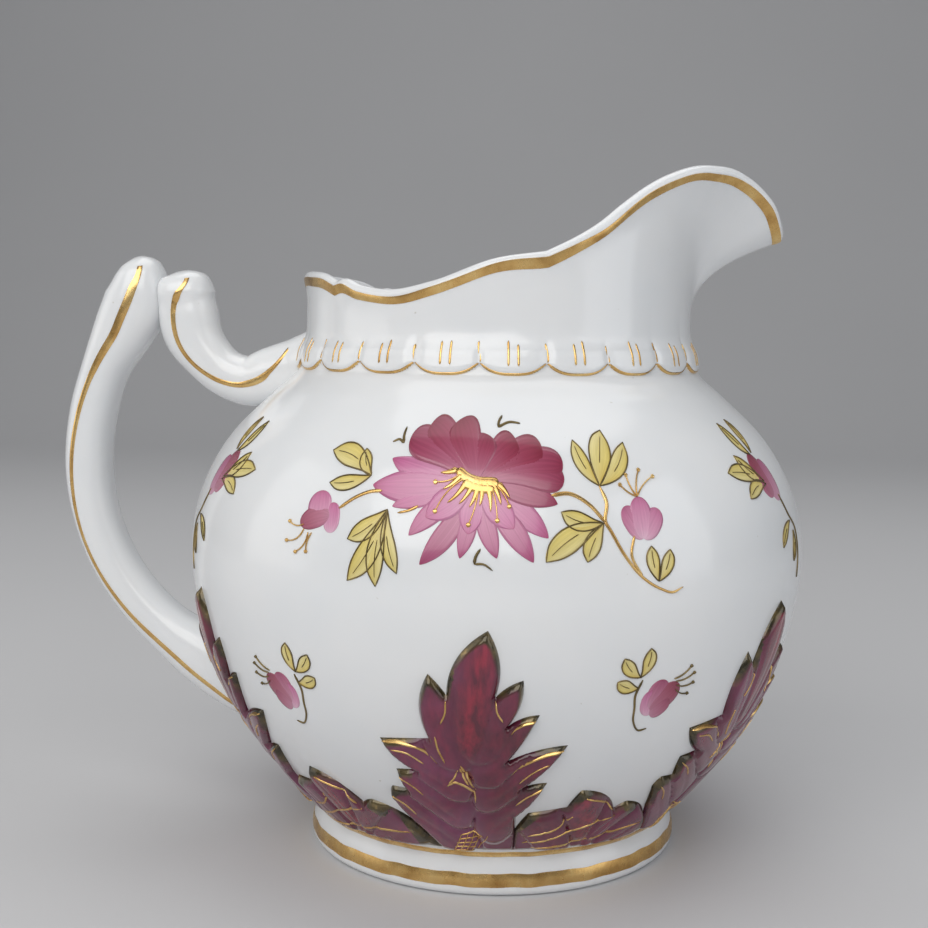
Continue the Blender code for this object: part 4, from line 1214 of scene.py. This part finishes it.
def side_spray(paint, canvas):
    """The narrow spray near the lip and the handle: leaves above, a bud, and a drooping leafed stem."""
    petal(paint["petal"], canvas, (1.6, -3.8), (-0.4, 2.2), 4.2, 0.0, 0.35, oval_profile)
    petal(paint["petal"], canvas, (-0.4, -3.0), (-2.6, 3.2), 4.4, 0.06, 0.95, oval_profile,
          ENAMEL_LIFT + LAYER)
    for base, tip, width, bend in (
        ((-2.0, 3.0), (-5.4, 7.6), 2.0, 0.1), ((-1.2, 3.2), (-1.4, 8.0), 1.8, -0.1),
        ((-2.0, -0.8), (-7.6, 3.2), 2.2, 0.08), ((-2.0, -0.8), (-11.4, 1.0), 2.4, -0.06),
        ((-1.8, -1.2), (-8.2, -2.8), 2.0, -0.1), ((3.2, -7.0), (-1.2, -10.6), 1.6, -0.1),
        ((4.2, -8.6), (3.4, -13.2), 1.6, 0.1),
    ):
        gilt_leaf(paint, canvas, base, tip, width, bend)
    stem = ((1.4, -3.0), (3.2, -6.0), (5.6, -8.4), (6.2, -12.0), (5.4, -16.0))
    stroke(paint["line"], canvas, stem, 0.36, 0.25)


def make_painting():
    """The same painting on the front and, turned round, on the back."""
    for word, flip in (("front", False), ("back", True)):
        paint = {"petal": Patchwork(), "yellow": Patchwork(), "gold": Patchwork(), "line": Patchwork()}
        bouquet(paint, Canvas(90.0, 64.0, flip=flip))
        sprig(paint, Canvas(126.5, 33.0, 0.815, flip))
        sprig(paint, Canvas(57.5, 34.2, 0.82, flip, mirror=True))
        side_spray(paint, Canvas(25.5, 63.0, 0.80, flip))
        side_spray(paint, Canvas(150.5, 62.5, 0.80, flip, mirror=True))
        paint["petal"].piece("painted_petals_" + word, petal_enamel, "leaf_enamel")
        paint["yellow"].piece("painted_leaves_" + word, yellow_enamel, "leaf_enamel")
        paint["gold"].piece("painted_gold_" + word, gold, "gold")
        paint["line"].piece("painted_lines_" + word, olive_gold, "gold")


# ---------------------------------------------------------------- gilding

SUNK = -0.08


def ring_band(name, azimuth, edges, replaces, crown=0.05, lift=0.05, cols=7):
    """A gold band round the jug; edges(k, lift) gives the line that lies k of the way across it."""
    rows = []
    for k in np.linspace(0, 1, cols):
        rows.append(edges(k, lift + crown * (1 - (2 * k - 1) ** 2)))
    rows.append(edges(1.0, SUNK))
    rows.append(edges(0.0, SUNK))
    points = np.array(rows)
    add_piece(name, points, wrap_faces(len(rows), len(azimuth)), gold, replaces, sharp=60)


def make_foot_gold():
    """The broad band on the foot and the thin line above it."""
    azimuth = np.arange(TURN) * 360.0 / TURN
    ragged = 0.06 * np.sin(np.radians(azimuth) * 23) + 0.04 * np.sin(np.radians(azimuth) * 41 + 1)

    def band(k, lift):
        height = FOOT_BAND_Z + FOOT_BAND_WIDE * k + ragged
        return around(FOOT_R - np.interp(height, *zip(*FOOT_PROFILE)) + lift, height, azimuth)

    ring_band("foot_gold_band_lustre", azimuth, band, ["foot_gold_band"])

    def line(k, lift):
        height = FOOT_LINE_Z + FOOT_LINE_WIDE * k + ragged * 0.8
        return on_jug(azimuth, height, lift)

    ring_band("foot_gold_line_lustre", azimuth, line, ["foot_gold_line"])


def make_rim_gold():
    """The line below the rim, a little uneven in place and width."""
    azimuth = rim_azimuths(RIM_TURN)
    a = np.radians(azimuth)
    wander = 0.10 * np.sin(a * 7) + 0.06 * np.sin(a * 19 + 2)
    width = RIM_GOLD_WIDE + 0.18 * np.sin(a * 5 + 1) + 0.1 * np.sin(a * 11)

    def line(k, lift):
        drop = RIM_GOLD_DROP + wander + width * (0.5 - k)
        point, normal, _ = neck_frame(azimuth, rim_share(azimuth, drop))
        return point + lift * normal

    ring_band("rim_gold_lustre", azimuth, line, ["rim_gold"], crown=0.06, lift=0.05)


def on_band(azimuth, height, lift):
    """Points off the shoulder band and the foot of the neck."""
    low = on_jug(azimuth, np.minimum(height, NECK_Z), lift)
    t = (np.maximum(height, NECK_Z) - NECK_Z) / (rim_height(azimuth) - NECK_Z)
    point, normal, _ = neck_frame(np.asarray(azimuth, float), t)
    high = point + np.asarray(lift, float)[..., None] * normal
    return np.where((np.asarray(height) <= NECK_Z)[..., None], low, high)


def band_stroke(patch, azimuth, height, width):
    """A gold line on the shoulder along azimuths and heights, its width in millimetres."""
    def place(flat, lift):
        return on_band(flat[..., 0] / math.radians(BAND_R), flat[..., 1], lift)

    run = np.stack([np.asarray(azimuth, float) * math.radians(BAND_R), height], axis=-1)
    count = len(run)
    across = np.linspace(-1, 1, 5)
    flat = ribbon(run, width / 2 * end_taper(count, 10, 0.3), across)
    dome = (0.04 + 0.06 * (1 - across ** 2)) * np.ones((count, 1))
    patch.tile(place, flat, dome, np.full((count, 2), UNDER))


def make_scallop_gold():
    """The line under each scallop, the line at its cusp and two ticks near its middle."""
    patch = Patchwork()
    pitch = 360.0 / SCALLOPS
    for k in range(SCALLOPS):
        middle = SCALLOP_FIRST + k * pitch
        azimuth = middle + np.linspace(-0.5, 0.5, 40) * pitch * 0.985
        band_stroke(patch, azimuth, scallop_edge(azimuth) + 0.05, 0.38)
        cusp = middle - pitch / 2
        heights = np.linspace(SHOULDER_Z + 1.9, NECK_Z + 0.9 + 0.3 * math.sin(k * 2.1), 14)
        band_stroke(patch, np.full(14, cusp) + 0.25 * np.sin(heights + k), heights, 0.34)
        for side in (-1, 1):
            top = NECK_Z + 1.0 + 0.3 * math.sin(k * 1.7 + side)
            heights = np.linspace(SHOULDER_Z + 1.4 + 0.15 * math.sin(k), top, 14)
            band_stroke(patch, np.full(14, middle + side * 1.25), heights, 0.34)
    patch.piece("scallop_gold_lustre", gold, "gold", ["scallop_gold"])


def handle_line(name, path, first, last, turns, width, side, replaces):
    """A gold line on one side of a bar; turns gives the section angle along it."""
    rows = np.arange(first, last)
    t = np.linspace(0, 1, len(rows))
    middle = np.radians(curve_through(turns, t))
    neighbours = path[first - 1:last + 1]
    strip = []
    across = np.linspace(-1, 1, 5)
    for a, lift in [(x, 0.05 + 0.07 * (1 - x * x)) for x in across] + [(1.0, SUNK), (-1.0, SUNK)]:
        reach = (path[rows, 2] + path[rows, 3]) / 2
        turn = middle + a * width / 2 / reach
        swollen = neighbours.copy()
        swollen[:, 2:] += lift
        swept = bar_points(swollen, np.concatenate([[turn[0]], turn, [turn[-1]]])[:, None])[1:-1, 0]
        swept[:, 1] = side * np.abs(swept[:, 1])
        strip.append(swept)
    grid = np.array(strip).transpose(1, 0, 2)
    add_piece(name, grid, tube_faces(*grid.shape[:2]), gold, replaces, sharp=60)


# Where the gold lines run round the handle's section: share along the line and angle
LOOP_GOLD_TURNS = (
    (0, 66.0), (0.1, 67.0), (0.2, 72.0), (0.32, 66.0), (0.45, 60.0), (0.6, 69.0), (0.76, 83.0),
    (0.85, 91.0), (0.965, 93.0), (1.0, 104.0),
)
SCROLL_GOLD_TURNS = (
    (0, 128.0), (0.03, 117.0), (0.15, 93.0), (0.29, 85.0), (0.43, 77.0), (0.57, 69.0), (0.7, 74.0),
    (0.87, 85.0), (0.94, 95.0), (1.0, 108.0),
)


def make_handle_gold():
    for side, word in ((-1, "front"), (1, "back")):
        handle_line("handle_gold_lustre_" + word, loop_path, 11, 157, LOOP_GOLD_TURNS, 0.85, side,
                    ["handle_gold_" + word])
        handle_line("scroll_gold_lustre_" + word, scroll_path, 14, 106, SCROLL_GOLD_TURNS, 0.75, side,
                    ["scroll_gold_" + word])


# ---------------------------------------------------------------- stage, light and camera

def stage_material(name, colour, rough):
    look = Look(name)
    low = tuple(c * 0.97 for c in colour)
    look.feed("Base Color", look.ramp(look.noise(3.0, 2.0), (0.3, low), (0.7, colour)))
    look.shader.inputs["Roughness"].default_value = rough
    return look.mat


def make_stage():
    """A pale floor that curves up into a plain backdrop."""
    rows = []
    half = 2.0
    for k in np.linspace(0, 1, 40):
        if k < 0.4:
            y, z = -1.2 + (k / 0.4) * 1.9, 0.0
        elif k < 0.8:
            a = (k - 0.4) / 0.4 * math.pi / 2
            y, z = 0.7 + 0.5 * math.sin(a), 0.5 * (1 - math.cos(a))
        else:
            y, z = 1.2, 0.5 + (k - 0.8) / 0.2 * 1.5
        rows.append([(-half, y, z), (half, y, z)])
    mesh = bpy.data.meshes.new("studio_floor")
    points = np.array(rows).reshape(-1, 3)
    mesh.from_pydata(points.tolist(), [], wrap_faces(len(rows), 2, False, False).tolist())
    mesh.materials.append(stage_material("studio_paper", (0.62, 0.62, 0.63), 0.6))
    mesh.shade_smooth()
    floor = bpy.data.objects.new("studio_floor", mesh)
    bpy.context.scene.collection.objects.link(floor)


def area_light(name, place, target, size, power, colour=(1.0, 1.0, 1.0)):
    data = bpy.data.lights.new(name, "AREA")
    data.shape = "RECTANGLE"
    data.size, data.size_y = size
    data.energy = power
    data.color = colour
    lamp = bpy.data.objects.new(name, data)
    lamp.location = place
    lamp.rotation_euler = (Vector(target) - Vector(place)).to_track_quat("-Z", "Y").to_euler()
    bpy.context.scene.collection.objects.link(lamp)


def make_light():
    centre = (0.01, 0.0, 0.06)
    area_light("key_softbox", (-0.16, -0.74, 0.62), centre, (1.0, 0.8), 6.4, (1.0, 0.985, 0.96))
    area_light("fill_right", (0.80, -0.30, 0.30), centre, (0.5, 0.8), 1.5, (0.95, 0.97, 1.0))
    area_light("fill_left", (-0.80, -0.16, 0.28), centre, (0.5, 0.8), 1.3, (1.0, 0.98, 0.95))
    area_light("top_light", (0.05, 0.20, 0.85), centre, (0.8, 0.7), 2.4)
    world = bpy.data.worlds.new("studio_world")
    world.use_nodes = True
    world.node_tree.nodes["Background"].inputs["Color"].default_value = (0.5, 0.52, 0.55, 1.0)
    world.node_tree.nodes["Background"].inputs["Strength"].default_value = 0.30
    bpy.context.scene.world = world
    bpy.context.scene.view_settings.view_transform = "Standard"
    bpy.context.scene.view_settings.look = "None"


def make_camera():
    """A little towards the lip from straight in front, just under the rim and looking slightly down."""
    away, height = 226.5, 83.5
    azimuth, pitch, yaw, roll = (math.radians(a) for a in (3.55, 5.45, -1.36, 0.585))
    turn = Matrix.Rotation(azimuth, 3, "Z")
    level = math.cos(pitch)
    forward = turn @ Vector((math.sin(yaw) * level, math.cos(yaw) * level, -math.sin(pitch)))
    right = turn @ Vector((math.cos(yaw), -math.sin(yaw), 0.0))
    up = right.cross(forward)
    right, up = right * math.cos(roll) + up * math.sin(roll), up * math.cos(roll) - right * math.sin(roll)
    place = turn @ Vector((0.0, -away, height)) + Vector((AXIS_X, 0.0, 0.0))
    data = bpy.data.cameras.new("camera")
    data.sensor_width = 36.0
    data.lens = 53.03
    data.clip_start = 0.01
    camera = bpy.data.objects.new("camera", data)
    camera.matrix_world = Matrix((
        (right.x, up.x, -forward.x, place.x * MM), (right.y, up.y, -forward.y, place.y * MM),
        (right.z, up.z, -forward.z, place.z * MM), (0, 0, 0, 1),
    ))
    bpy.context.scene.collection.objects.link(camera)
    bpy.context.scene.camera = camera


make_camera()
make_foot()
make_body()
make_shoulder()
make_neck()
make_handle()
make_lute("lute_lower_porcelain", loop_path[:20], ["lute_lower"])
make_lute("lute_upper_porcelain", scroll_path[:24], ["lute_upper"])
make_leaves()
make_foot_gold()
make_rim_gold()
make_scallop_gold()
make_handle_gold()
make_painting()
make_stage()
make_light()
